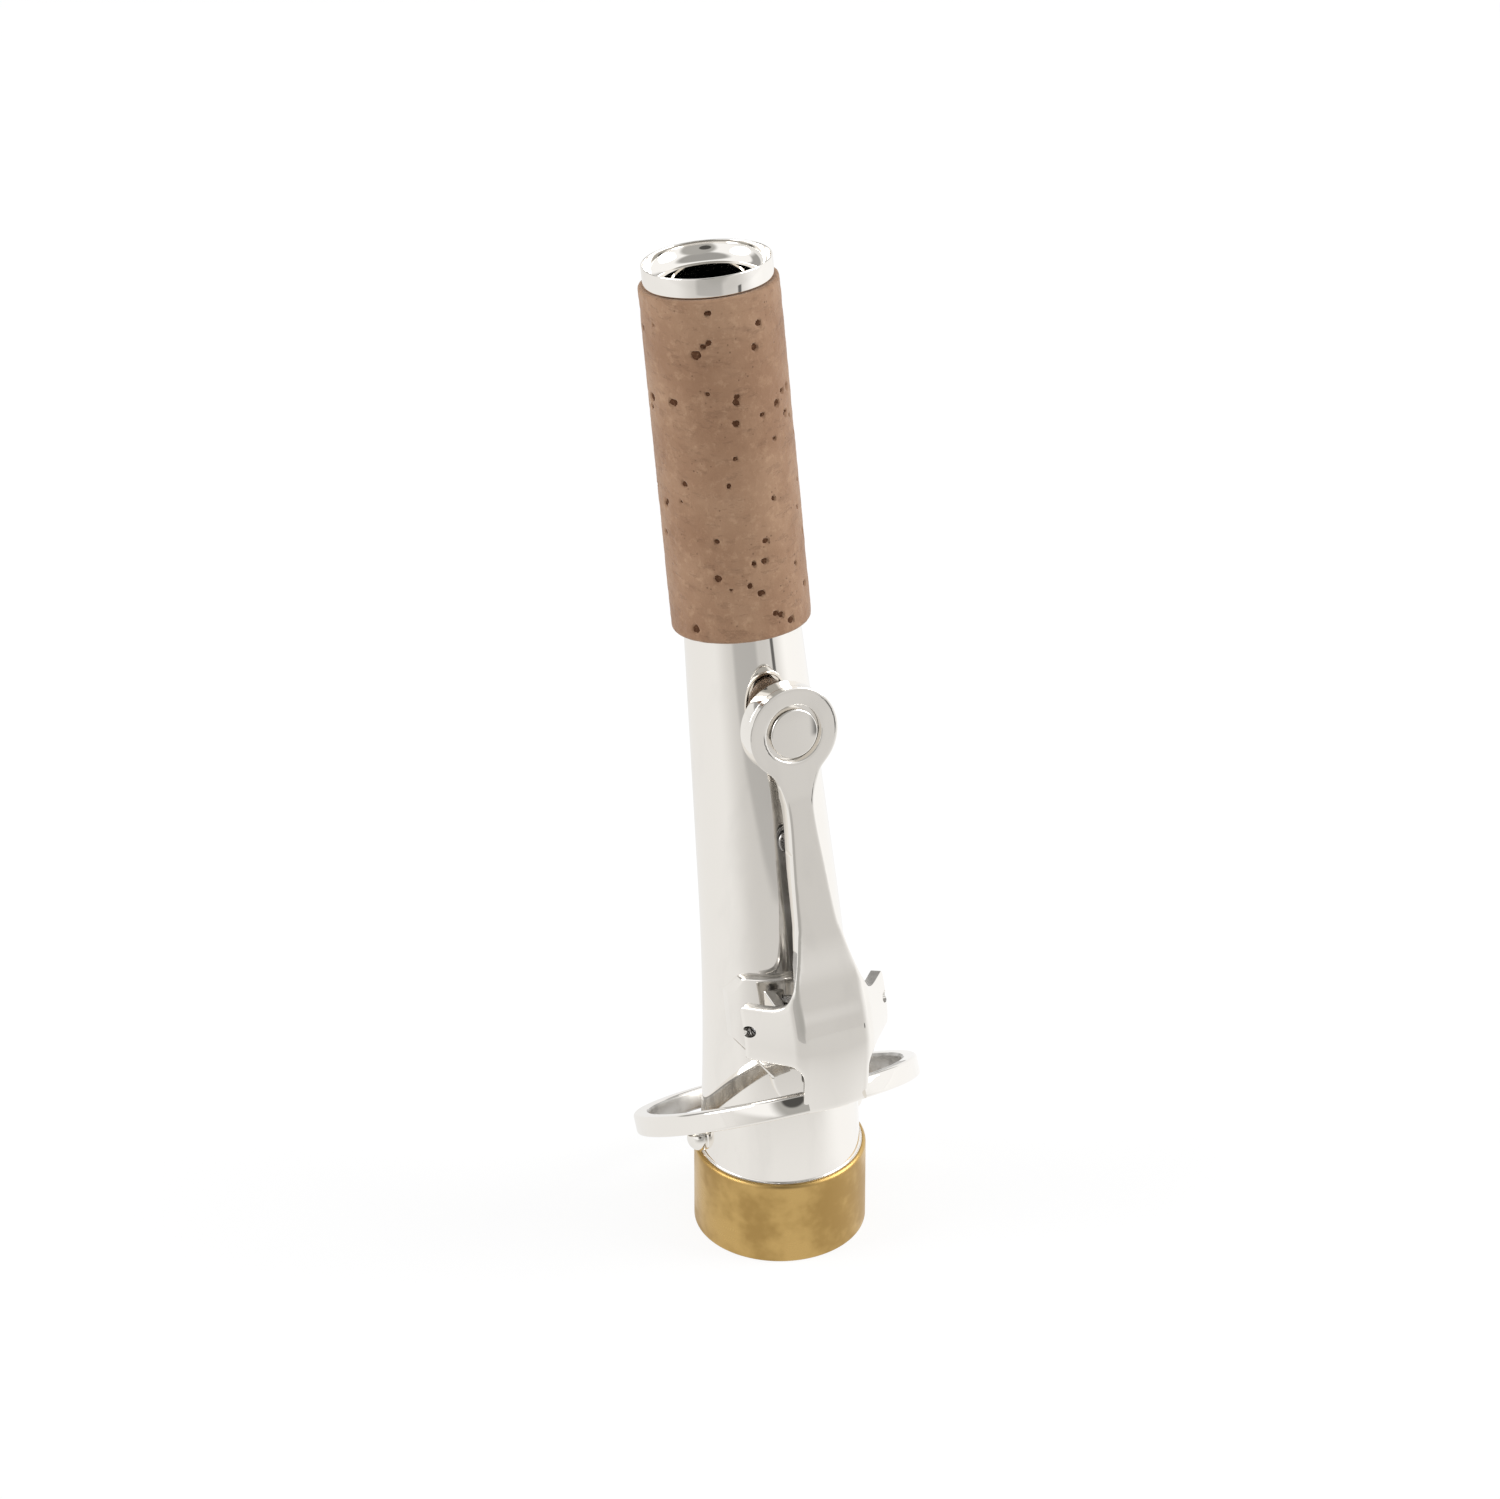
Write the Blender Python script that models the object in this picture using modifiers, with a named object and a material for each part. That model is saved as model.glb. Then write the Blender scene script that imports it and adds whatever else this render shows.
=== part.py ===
"""Neck of a soprano saxophone with its sprung octave key.

Metres, +Z up. The origin is the centre of the tenon's end face and Z is the tenon's axis.
The octave key faces -Y and the neck bends away from it, towards +Y.
Stations are arc lengths along the neck's axis, and heights are measured out from the tube's wall.
"""

import bmesh
import bpy
import numpy as np
from math import cos, pi, radians, sin, tan
from mathutils import Matrix, Vector

MM = 0.001

# Fits and facets
FIT_GAP = 0.3 * MM
ROUND_SIDES = 48
SMALL_SIDES = 24
ARC_STEPS = 6
ARM_STEPS = 31
MERGE = 0.001 * MM

# Tenon and tube
TENON_LENGTH = 9.7 * MM
TENON_STEP = 0.63 * MM
TENON_SOCKET = 6.0 * MM
TENON_EDGE = 0.5 * MM
TENON_CHAMFER = 0.25 * MM
TUBE_LOWER_DIAMETER = 16.74 * MM
TUBE_CORK_DIAMETER = 11.94 * MM
TUBE_TIP_DIAMETER = 9.7 * MM
TUBE_WALL = 0.5 * MM
SPIGOT_STEP = 0.12 * MM
BEND_RUN_IN = 0.3 * MM
BEND_RUN = 30.0 * MM
BEND_ANGLE = radians(12.44)
BEND_STEP = 2.5 * MM

# Cork and tip ring
CORK_ABOVE_TENON = 59.0 * MM
CORK_LENGTH = 36.4 * MM
CORK_DIAMETER = 14.3 * MM
CORK_EDGE = 0.5 * MM
TIP_RING_DIAMETER = 13.85 * MM
TIP_RING_HEIGHT = 2.2 * MM
TIP_RING_RIM = 0.3 * MM
TIP_RING_LIP = 0.1 * MM
TIP_RING_SEAT = 0.2 * MM
FUNNEL_STEPS = 8

# Octave vent, pad and cup
EYE_BELOW_CORK = 9.0 * MM
EYE_HEIGHT = 4.6 * MM
PIP_RADIUS = 1.9 * MM
PIP_BORE_RADIUS = 0.75 * MM
PIP_HEIGHT = 1.0 * MM
PIP_EDGE = 0.35 * MM
PAD_EDGE = 0.3 * MM
CUP_RADIUS = 4.85 * MM
CUP_WALL = 0.5 * MM
CUP_ROOF = 0.45 * MM
CUP_DEPTH = 1.65 * MM
CUP_EDGE = 0.25 * MM
CUP_BOSS_RADIUS = 2.6 * MM
CUP_BOSS_PROUD = 0.15 * MM

# Key arm: an eye, a tapered bar, a shield over the hinge and a foot on the ring
EYE_THICKNESS = 0.8 * MM
EYE_HOLE_CLEARANCE = 0.45 * MM
EYE_EDGE = 0.3 * MM
EYE_STEP = 0.05 * MM
EYE_OVERLAP = 1.3 * MM
ARM_THICKNESS = 2.0 * MM
ARM_NECK_BELOW_EYE = 9.5 * MM
ARM_NECK_HEIGHT = 4.5 * MM
ARM_NECK_HALF_WIDTH = 1.45 * MM
ARM_FILLET_HALF_WIDTH = 2.7 * MM
ARM_FILLET_BELOW_EYE = 4.4 * MM
ARM_ROOT_ABOVE_HINGE = 8.0 * MM
ARM_ROOT_HEIGHT = 5.5 * MM
ARM_ROOT_HALF_WIDTH = 2.35 * MM
SHIELD_TOP_ABOVE_HINGE = 3.4 * MM
SHIELD_TOP_HEIGHT = 6.5 * MM
SHIELD_TOP_HALF_WIDTH = 3.7 * MM
SHIELD_CROWN_BELOW_HINGE = 1.6 * MM
SHIELD_CROWN_HEIGHT = 7.4 * MM
SHIELD_HALF_WIDTH = 4.0 * MM
SHIELD_THICKNESS = 0.7 * MM
FOOT_BELOW_HINGE = 8.3 * MM
FOOT_HEIGHT = 6.6 * MM
FOOT_HALF_WIDTH = 3.75 * MM
FOOT_LENGTH = 3.6 * MM

# Hinge: bridge on the key, saddle and rod on the tube
HINGE_ABOVE_TENON = 19.6 * MM
PIVOT_HEIGHT = 2.73 * MM
ROD_RADIUS = 0.85 * MM
ROD_RECESS = 0.4 * MM
ROD_CHAMFER = 0.15 * MM
BRIDGE_HALF_WIDTH = 7.0 * MM
BRIDGE_SPLAY = 0.35 * MM
BRIDGE_CORNER = 2.2 * MM
BRIDGE_WALL = 1.0 * MM
BRIDGE_DEPTH = 5.4 * MM
LUG_TOP = 2.2 * MM
LUG_BOTTOM = 2.9 * MM
BRIDGE_CROWN_TOP = 4.6 * MM
BRIDGE_CROWN_BOTTOM = 4.2 * MM
FLARE_HALF_WIDTH = 2.9 * MM
FLARE_RADIUS = 2.3 * MM
ARCH_RADIUS = 1.1 * MM
LUG_CORNER = 0.9 * MM
SADDLE_THICKNESS = 0.55 * MM
SADDLE_HALF_WIDTH = 7.15 * MM
SADDLE_TOP = 3.5 * MM
SADDLE_SIDE_TOP = 1.6 * MM
SADDLE_SIDE_BOTTOM = 3.2 * MM
SADDLE_CORNER = 1.1 * MM
TONGUE_HALF_WIDTH = 4.2 * MM
TONGUE_TOP = 8.2 * MM
TONGUE_END = 11.3 * MM
EAR_THICKNESS = 1.5 * MM
EAR_WALL = 0.45 * MM
EAR_SIDE_GAP = 0.6 * MM
EAR_FOOT_HALF_LENGTH = 2.9 * MM

# Octave ring
RING_CLEARANCE = 4.2 * MM
RING_THICKNESS = 1.6 * MM
RING_HEIGHT = 2.2 * MM
RING_EDGE = 0.3 * MM
RING_TILT = radians(31.5)

# Flat spring and its screw
SPRING_THICKNESS = 0.25 * MM
SPRING_HALF_WIDTH = 1.3 * MM
SPRING_END_ABOVE_HINGE = 18.4 * MM
SPRING_TIP_BELOW_HINGE = 8.3 * MM
SPRING_SCREW_INSET = 1.6 * MM
SCREW_SHANK_RADIUS = 0.5 * MM
SCREW_HEAD_RADIUS = 1.05 * MM
SCREW_HEAD_HEIGHT = 0.5 * MM
SCREW_DEPTH = 0.9 * MM

# Studs beside the tenon
STUD_RADIUS = 1.4 * MM
STUD_STANDOFF = 0.4 * MM
STUD_BEHIND_SIDE = radians(8.0)

# Stations and sizes that follow from the dimensions above
TENON_RADIUS = TUBE_LOWER_DIAMETER / 2 + TENON_STEP
BEND_START = TENON_LENGTH + BEND_RUN_IN
CORK_START = TENON_LENGTH + CORK_ABOVE_TENON
CORK_END = CORK_START + CORK_LENGTH
RING_SEAT = CORK_END + FIT_GAP
TUBE_END = RING_SEAT + TIP_RING_SEAT
EYE = CORK_START - EYE_BELOW_CORK
HINGE = TENON_LENGTH + HINGE_ABOVE_TENON
TUBE_START = TENON_LENGTH - TENON_SOCKET + FIT_GAP
SKIN_HEIGHT = FIT_GAP + SADDLE_THICKNESS
EAR_RADIUS = ROD_RADIUS + FIT_GAP + EAR_WALL
REACH = 2 * CUP_RADIUS + TENON_RADIUS + EYE_HEIGHT

# Colour, roughness and metallic value of each finish
SILVER = ((0.93, 0.92, 0.90), 0.06, 1.0)
BRASS = ((0.72, 0.52, 0.22), 0.32, 1.0)
CORK = ((0.56, 0.37, 0.25), 0.85, 0.0)
STEEL = ((0.55, 0.55, 0.56), 0.25, 1.0)
BLUED_STEEL = ((0.10, 0.11, 0.14), 0.3, 1.0)
PAD_SKIN = ((0.86, 0.80, 0.66), 0.7, 0.0)

# Axes of a plane seen from the side: local X, Y and Z are world Y, Z and X
SIDE_PLANE = Matrix(((0, 0, 1, 0), (1, 0, 0, 0), (0, 1, 0, 0), (0, 0, 0, 1)))


def axis_angle(station):
    """Lean of the neck's axis from the tenon's axis."""
    return BEND_ANGLE * min(max((station - BEND_START) / BEND_RUN, 0.0), 1.0)


def axis_point(station):
    """Point of the neck's axis: a straight tenon, an arc, and a straight upper part."""
    if station <= BEND_START:
        return Vector((0, 0, station))
    angle = axis_angle(station)
    bend_radius = BEND_RUN / BEND_ANGLE
    beyond = max(station - BEND_START - BEND_RUN, 0.0)
    y = bend_radius * (1 - cos(angle)) + beyond * sin(angle)
    z = BEND_START + bend_radius * sin(angle) + beyond * cos(angle)
    return Vector((0, y, z))


def axis_frame(station):
    """Frame whose Z runs up the neck's axis."""
    return Matrix.Translation(axis_point(station)) @ Matrix.Rotation(-axis_angle(station), 4, "X")


def front_frame(station, out=0.0):
    """Frame whose Y runs up the neck and whose Z points out of its front."""
    outward = Matrix.Rotation(pi / 2, 4, "X") @ Matrix.Translation((0, 0, out))
    return axis_frame(station) @ outward


def tube_radius(station):
    """Outer radius of the conical tube."""
    stations = (TENON_LENGTH, CORK_START, TUBE_END)
    diameters = (TUBE_LOWER_DIAMETER, TUBE_CORK_DIAMETER, TUBE_TIP_DIAMETER)
    return float(np.interp(station, stations, diameters)) / 2


def wall_point(station, height):
    """Point in the middle plane at a height over the tube's front."""
    return front_frame(station, tube_radius(station) + height).translation


def spline(points, steps=ARC_STEPS):
    """Smooth Catmull-Rom curve through the points."""
    nodes = [np.array(point) for point in (points[0], *points, points[-1])]
    curve = []
    for before, start, end, after in zip(nodes, nodes[1:], nodes[2:], nodes[3:]):
        for step in range(steps):
            t = step / steps
            bend = (2 * before - 5 * start + 4 * end - after) * t * t
            twist = (3 * start - before - 3 * end + after) * t ** 3
            curve.append(tuple((2 * start + (end - before) * t + bend + twist) / 2))
    return curve + [tuple(points[-1])]


def arc(centre, radius, start, end, steps=ARC_STEPS):
    """Points on a circular arc between two angles."""
    angles = np.linspace(start, end, steps + 1)
    return [(centre[0] + radius * cos(angle), centre[1] + radius * sin(angle)) for angle in angles]


def mirrored(points):
    """Closed outline made of a half outline and its mirror image in x."""
    return points + [(-x, y) for x, y in reversed(points) if x > MERGE]


def make_collection(name):
    """New collection in the scene."""
    collection = bpy.data.collections.new(name)
    bpy.context.scene.collection.children.link(collection)
    return collection


def add_object(name, mesh, matrix, collection):
    """Object with a mesh, placed by a matrix, in one collection."""
    item = bpy.data.objects.new(name, mesh)
    item.matrix_world = matrix
    collection.objects.link(item)
    if collection.name == "cutters":
        item.hide_render = True
        item.display_type = "WIRE"
    return item


def turned(name, profile, matrix, collection, sides=ROUND_SIDES, closed=True):
    """Solid of revolution about local Z from an (r, z) profile that runs down its outer side."""
    mesh = bpy.data.meshes.new(name)
    count = len(profile)
    edges = [(k, (k + 1) % count) for k in range(count if closed else count - 1)]
    mesh.from_pydata([(r, 0, z) for r, z in profile], edges, [])
    item = add_object(name, mesh, matrix, collection)
    screw = item.modifiers.new("turn", "SCREW")
    screw.steps = sides
    screw.render_steps = sides
    screw.use_merge_vertices = True
    screw.merge_threshold = MERGE
    return item


def curve_to_mesh(curve_object, collection):
    """Closed mesh object in place of a curve, with its caps welded."""
    graph = bpy.context.evaluated_depsgraph_get()
    mesh = bpy.data.meshes.new_from_object(curve_object.evaluated_get(graph))
    shape = bmesh.new()
    shape.from_mesh(mesh)
    bmesh.ops.remove_doubles(shape, verts=shape.verts, dist=MERGE)
    bmesh.ops.recalc_face_normals(shape, faces=shape.faces)
    shape.to_mesh(mesh)
    shape.free()
    name = curve_object.name
    matrix = curve_object.matrix_world.copy()
    bpy.data.objects.remove(curve_object)
    return add_object(name, mesh, matrix, collection)


def prism(name, outline, half_thickness, matrix, collection):
    """Flat outline extruded both ways from its plane."""
    curve = bpy.data.curves.new(name, "CURVE")
    curve.dimensions = "2D"
    curve.fill_mode = "BOTH"
    curve.extrude = half_thickness
    line = curve.splines.new("POLY")
    line.points.add(len(outline) - 1)
    for point, (x, y) in zip(line.points, outline):
        point.co = (x, y, 0, 1)
    line.use_cyclic_u = True
    drawn = add_object(name, curve, matrix, collection)
    bpy.context.view_layer.update()
    return curve_to_mesh(drawn, collection)


def swept_tube(name, stations, radii, collection):
    """Round bar along the neck's axis with a radius at each station."""
    curve = bpy.data.curves.new(name, "CURVE")
    curve.dimensions = "3D"
    curve.bevel_depth = 1.0
    curve.bevel_resolution = (ROUND_SIDES - 4) // 2
    curve.use_fill_caps = True
    line = curve.splines.new("POLY")
    line.points.add(len(stations) - 1)
    for point, station, radius in zip(line.points, stations, radii):
        point.co = (*axis_point(station), 1)
        point.radius = radius
    drawn = add_object(name, curve, Matrix.Identity(4), collection)
    bpy.context.view_layer.update()
    return curve_to_mesh(drawn, collection)


def bend_stations(start, end):
    """Stations between two ends, close together where the axis bends."""
    bend = np.arange(BEND_START, BEND_START + BEND_RUN + BEND_STEP / 2, BEND_STEP)
    inner = [station for station in (*bend, CORK_START) if start < station < end]
    return [start, *sorted(inner), end]


def boolean(item, other, operation, solver="EXACT"):
    """Add a Boolean modifier. MANIFOLD keeps a chain of cuts on one small piece closed."""
    modifier = item.modifiers.new(operation.lower(), "BOOLEAN")
    modifier.operation = operation
    modifier.object = other
    modifier.solver = solver


def finish(item, look):
    """Give an object a material of its own and smooth its round faces."""
    colour, roughness, metallic = look
    material = bpy.data.materials.new(item.name)
    material.use_nodes = True
    shader = material.node_tree.nodes["Principled BSDF"]
    shader.inputs["Base Color"].default_value = (*colour, 1.0)
    shader.inputs["Roughness"].default_value = roughness
    shader.inputs["Metallic"].default_value = metallic
    item.data.materials.clear()
    item.data.materials.append(material)
    item.data.shade_smooth()
    item.data.set_sharp_from_angle(angle=radians(40))
    return item


def wall_cutter(name, height, start, end, cutters):
    """Tube-shaped cutter whose surface lies at a height over the tube's wall."""
    stations = bend_stations(start, end)
    return swept_tube(name, stations, [tube_radius(s) + height for s in stations], cutters)


def make_tube(parts, cutters):
    """Conical tube with its spigot, bore and vent hole."""
    shoulder = TENON_LENGTH + FIT_GAP
    spigot = tube_radius(TENON_LENGTH) - SPIGOT_STEP
    upper = bend_stations(shoulder, TUBE_END)
    stations = [TUBE_START, shoulder - MERGE * 10, *upper]
    radii = [spigot, spigot, *(tube_radius(station) for station in upper)]
    tube = swept_tube("neck_tube", stations, radii, parts)
    bore_stations = [TUBE_START - FIT_GAP * 2, *stations[1:-1], TUBE_END + FIT_GAP * 2]
    bore_radii = [radius - TUBE_WALL for radius in radii]
    bore = swept_tube("tube_bore", bore_stations, bore_radii, cutters)
    boolean(tube, bore, "DIFFERENCE")
    hole = [(0, 2 * REACH), (PIP_RADIUS + FIT_GAP, 2 * REACH), (PIP_RADIUS + FIT_GAP, 0), (0, 0)]
    vent = turned("vent_hole", hole, front_frame(EYE), cutters, SMALL_SIDES, False)
    boolean(tube, vent, "DIFFERENCE")
    return finish(tube, SILVER)


def make_tenon(parts):
    """Turned brass tenon with a socket for the tube in its upper end."""
    spigot = tube_radius(TENON_LENGTH) - SPIGOT_STEP
    bore = spigot - TUBE_WALL
    socket = spigot + FIT_GAP
    seat = TENON_LENGTH - TENON_SOCKET
    corner = (TENON_RADIUS - TENON_EDGE, TENON_LENGTH - TENON_EDGE)
    profile = [
        (socket, TENON_LENGTH),
        *arc(corner, TENON_EDGE, pi / 2, 0),
        (TENON_RADIUS, TENON_CHAMFER),
        (TENON_RADIUS - TENON_CHAMFER, 0),
        (bore, 0),
        (bore, seat),
        (socket, seat),
    ]
    return finish(turned("tenon", profile, axis_frame(0), parts), BRASS)


def make_cork(parts):
    """Cork sleeve glued round the tube's upper end."""
    outer = CORK_DIAMETER / 2
    lower = (outer - CORK_EDGE, CORK_EDGE)
    profile = [
        (tube_radius(CORK_END) + FIT_GAP, CORK_LENGTH),
        (outer, CORK_LENGTH),
        *arc(lower, CORK_EDGE, 0, -pi / 2),
        (tube_radius(CORK_START) + FIT_GAP, 0),
    ]
    return finish(turned("cork_sleeve", profile, axis_frame(CORK_START), parts), CORK)


def make_tip_ring(parts):
    """Ring on the tube's end, dished from its thin rim down to the bore."""
    outer = TIP_RING_DIAMETER / 2
    bore = tube_radius(TUBE_END) - TUBE_WALL
    rim = outer - TIP_RING_RIM
    ledge = TIP_RING_SEAT + FIT_GAP
    throat = ledge + TIP_RING_LIP
    funnel = [
        (bore + (rim - bore) * sin(turn), throat + (TIP_RING_HEIGHT - throat) * (1 - cos(turn)))
        for turn in np.linspace(0, pi / 2, FUNNEL_STEPS + 1)
    ]
    profile = [
        (outer, TIP_RING_HEIGHT - TIP_RING_RIM),
        (outer, 0),
        (tube_radius(RING_SEAT) + FIT_GAP, 0),
        (tube_radius(RING_SEAT) + FIT_GAP, ledge),
        (bore, ledge),
        *funnel,
    ]
    return finish(turned("tip_ring", profile, axis_frame(RING_SEAT), parts), SILVER)


def make_pip(parts):
    """Vent pipe through the tube's wall, with a rounded seat for the pad."""
    base = tube_radius(EYE) - TUBE_WALL
    top = tube_radius(EYE) + PIP_HEIGHT
    seat = (PIP_RADIUS - PIP_EDGE, top - PIP_EDGE)
    profile = [
        (PIP_BORE_RADIUS, top),
        *arc(seat, PIP_EDGE, pi / 2, 0, 3),
        (PIP_RADIUS, base),
        (PIP_BORE_RADIUS, base),
    ]
    return finish(turned("octave_pip", profile, front_frame(EYE), parts, SMALL_SIDES), SILVER)


def cup_levels():
    """Distances of the pad's face, cup roof and eye from the neck's axis, at the eye."""
    wall = tube_radius(EYE)
    eye_top = wall + EYE_HEIGHT
    eye_bottom = eye_top - EYE_THICKNESS
    roof_top = eye_bottom - FIT_GAP
    pad_top = roof_top - CUP_ROOF - FIT_GAP
    pad_bottom = wall + PIP_HEIGHT + FIT_GAP
    return eye_top, eye_bottom, roof_top, pad_top, pad_bottom


def make_cup(parts):
    """Pad cup whose round boss stands up through the eye of the arm."""
    eye_top, _, roof_top, _, _ = cup_levels()
    roof_bottom = roof_top - CUP_ROOF
    skirt_bottom = roof_top - CUP_DEPTH
    corner = (CUP_RADIUS - CUP_EDGE, roof_top - CUP_EDGE)
    profile = [
        (0, eye_top + CUP_BOSS_PROUD),
        (CUP_BOSS_RADIUS - CUP_BOSS_PROUD, eye_top + CUP_BOSS_PROUD),
        (CUP_BOSS_RADIUS, eye_top),
        (CUP_BOSS_RADIUS, roof_top),
        *arc(corner, CUP_EDGE, pi / 2, 0, 3),
        (CUP_RADIUS, skirt_bottom),
        (CUP_RADIUS - CUP_WALL, skirt_bottom),
        (CUP_RADIUS - CUP_WALL, roof_bottom),
        (0, roof_bottom),
    ]
    cup = turned("pad_cup", profile, front_frame(EYE), parts, ROUND_SIDES, False)
    return finish(cup, SILVER)


def make_pad(parts):
    """Skin-covered pad that closes the vent."""
    _, _, _, pad_top, pad_bottom = cup_levels()
    radius = CUP_RADIUS - CUP_WALL - FIT_GAP
    lower = (radius - PAD_EDGE, pad_bottom + PAD_EDGE)
    profile = [(0, pad_top), (radius, pad_top), *arc(lower, PAD_EDGE, 0, -pi / 2, 3), (0, pad_bottom)]
    pad = turned("octave_pad", profile, front_frame(EYE), parts, ROUND_SIDES, False)
    return finish(pad, PAD_SKIN)


def face_height(station):
    """Height of the arm's outer face: level on the eye, rising to the shield, falling to the foot."""
    stations, heights = zip(*reversed(face_line()))
    return float(np.interp(station, stations, heights))


def face_line():
    """Stations and heights of the arm's outer face, from the eye down to the foot."""
    return spline([
        (EYE + CUP_RADIUS, EYE_HEIGHT - EYE_STEP),
        (EYE - ARM_FILLET_BELOW_EYE, EYE_HEIGHT - EYE_STEP),
        (EYE - ARM_NECK_BELOW_EYE, ARM_NECK_HEIGHT),
        (HINGE + ARM_ROOT_ABOVE_HINGE, ARM_ROOT_HEIGHT),
        (HINGE + SHIELD_TOP_ABOVE_HINGE, SHIELD_TOP_HEIGHT),
        (HINGE - SHIELD_CROWN_BELOW_HINGE, SHIELD_CROWN_HEIGHT),
        (HINGE - FOOT_BELOW_HINGE, FOOT_HEIGHT),
    ])


def arm_thickness(station):
    """Thickness of the arm: a bar that thins to a foot as thick as the ring."""
    stations = (HINGE - BRIDGE_CROWN_BOTTOM, HINGE + ARM_ROOT_ABOVE_HINGE)
    return float(np.interp(station, stations, (RING_THICKNESS, ARM_THICKNESS)))


def arm_underside(station):
    """Height of the arm's inner face over the tube."""
    return face_height(station) - arm_thickness(station)


def side_points(stations, height):
    """World (y, z) points at a height that varies along the stations."""
    points = [wall_point(station, height(station)) for station in stations]
    return [(point.y, point.z) for point in points]


def bent_plate(name, stations, outer, inner, outline, collections):
    """Plate with its side view between two height lines and its front view inside an outline."""
    parts, cutters = collections
    side = side_points(stations, outer) + side_points(stations[::-1], inner)
    width = max(half_width for half_width, _ in outline) + MM
    plate = prism(name, side, width, SIDE_PLANE, parts)
    front = front_frame(EYE)
    flat = []
    for half_width, station in outline:
        flat.append((half_width, (front.inverted() @ wall_point(station, outer(station))).y))
    boolean(plate, prism(name + "_outline", mirrored(flat), REACH, front, cutters), "INTERSECT")
    return plate


def make_arm(collections):
    """Key arm: one casting from the eye round the cup's boss to the foot on the ring."""
    parts, cutters = collections
    start = EYE - CUP_RADIUS + EYE_OVERLAP
    end = HINGE - FOOT_BELOW_HINGE
    stations = list(np.linspace(start, end, ARM_STEPS + 1))
    sides = spline([
        (ARM_FILLET_HALF_WIDTH, EYE - ARM_FILLET_BELOW_EYE),
        (ARM_NECK_HALF_WIDTH, EYE - ARM_NECK_BELOW_EYE),
        (ARM_ROOT_HALF_WIDTH, HINGE + ARM_ROOT_ABOVE_HINGE),
        (SHIELD_TOP_HALF_WIDTH, HINGE + SHIELD_TOP_ABOVE_HINGE),
        (SHIELD_HALF_WIDTH, HINGE - SHIELD_CROWN_BELOW_HINGE),
        (FOOT_HALF_WIDTH, HINGE - FOOT_BELOW_HINGE + FOOT_LENGTH),
        (FOOT_HALF_WIDTH, end - MM),
    ])
    outline = [(0, start + MM), (ARM_FILLET_HALF_WIDTH, start + MM), *sides, (0, end - MM)]
    arm = bent_plate("key_arm", stations, face_height, arm_underside, outline, collections)

    eye_top, eye_bottom, _, _, _ = cup_levels()
    hole = CUP_BOSS_RADIUS + EYE_HOLE_CLEARANCE
    corner = (CUP_RADIUS - EYE_EDGE, eye_top - EYE_EDGE)
    rim = [
        (hole, eye_top),
        *arc(corner, EYE_EDGE, pi / 2, 0, 3),
        (CUP_RADIUS, eye_bottom - FIT_GAP),
        (hole, eye_bottom - FIT_GAP),
    ]
    boolean(arm, turned("eye_rim", rim, front_frame(EYE), cutters), "UNION", "MANIFOLD")
    below = [
        (0, eye_bottom),
        (CUP_RADIUS + FIT_GAP, eye_bottom),
        (CUP_RADIUS + FIT_GAP, 0),
        (0, 0),
    ]
    space = turned("cup_space", below, front_frame(EYE), cutters, ROUND_SIDES, False)
    boolean(arm, space, "DIFFERENCE", "MANIFOLD")
    station = screw_station()
    bottom = tube_radius(station) + arm_underside(station)
    tapping = screw_hole("arm_tapping", bottom + SCREW_DEPTH + FIT_GAP, cutters)
    boolean(arm, tapping, "DIFFERENCE", "MANIFOLD")
    frame, roof = bridge_frame()
    top, bottom = BRIDGE_CROWN_TOP + FIT_GAP, BRIDGE_CROWN_BOTTOM + FIT_GAP
    level, back = roof + FIT_GAP, roof - BRIDGE_DEPTH
    seat = [(top, level), (top, back), (-bottom, back), (-bottom, level)]
    space = prism("bridge_seat", seat, REACH, frame @ SIDE_PLANE, cutters)
    boolean(arm, space, "DIFFERENCE", "MANIFOLD")
    return finish(arm, SILVER)


def pivot_point():
    """Centre of the hinge."""
    return wall_point(HINGE, PIVOT_HEIGHT)


def hinge_frame():
    """Frame at the hinge whose Z runs along the hinge's axis, world +X."""
    return Matrix.Translation(pivot_point()) @ Matrix.Rotation(pi / 2, 4, "Y")


def pivot_hole(cutters):
    """Cutter for the hole round the hinge rod."""
    radius = ROD_RADIUS + FIT_GAP
    profile = [(0, REACH), (radius, REACH), (radius, -REACH), (0, -REACH)]
    return turned("pivot_hole", profile, hinge_frame(), cutters, SMALL_SIDES, False)


def bridge_frame():
    """Frame at the hinge with Y up along the shield and Z out through it, and the roof's level."""
    top, bottom = HINGE + SHIELD_TOP_ABOVE_HINGE, HINGE - BRIDGE_CROWN_BOTTOM
    upper = wall_point(top, face_height(top))
    along = (upper - wall_point(bottom, face_height(bottom))).normalized()
    out = Vector((1, 0, 0)).cross(along)
    axes = Matrix((Vector((1, 0, 0)), along, out)).transposed().to_4x4()
    roof = (upper - pivot_point()).dot(out) - SHIELD_THICKNESS - FIT_GAP
    return Matrix.Translation(pivot_point()) @ axes, roof


def bridge_outline():
    """Half of the bridge's front view: a roof that runs into the lugs round two inner corners."""
    flare = (FLARE_HALF_WIDTH + FLARE_RADIUS, LUG_TOP + FLARE_RADIUS)
    arch = (FOOT_HALF_WIDTH + ARCH_RADIUS, -LUG_BOTTOM - ARCH_RADIUS)
    side = BRIDGE_HALF_WIDTH + BRIDGE_SPLAY + MM
    return [
        (0, BRIDGE_CROWN_TOP),
        (FLARE_HALF_WIDTH, BRIDGE_CROWN_TOP),
        *arc(flare, FLARE_RADIUS, pi, 3 * pi / 2),
        (side, LUG_TOP),
        (side, -LUG_BOTTOM),
        *arc(arch, ARCH_RADIUS, pi / 2, pi),
        (FOOT_HALF_WIDTH, -BRIDGE_CROWN_BOTTOM),
        (0, -BRIDGE_CROWN_BOTTOM),
    ]


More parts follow.
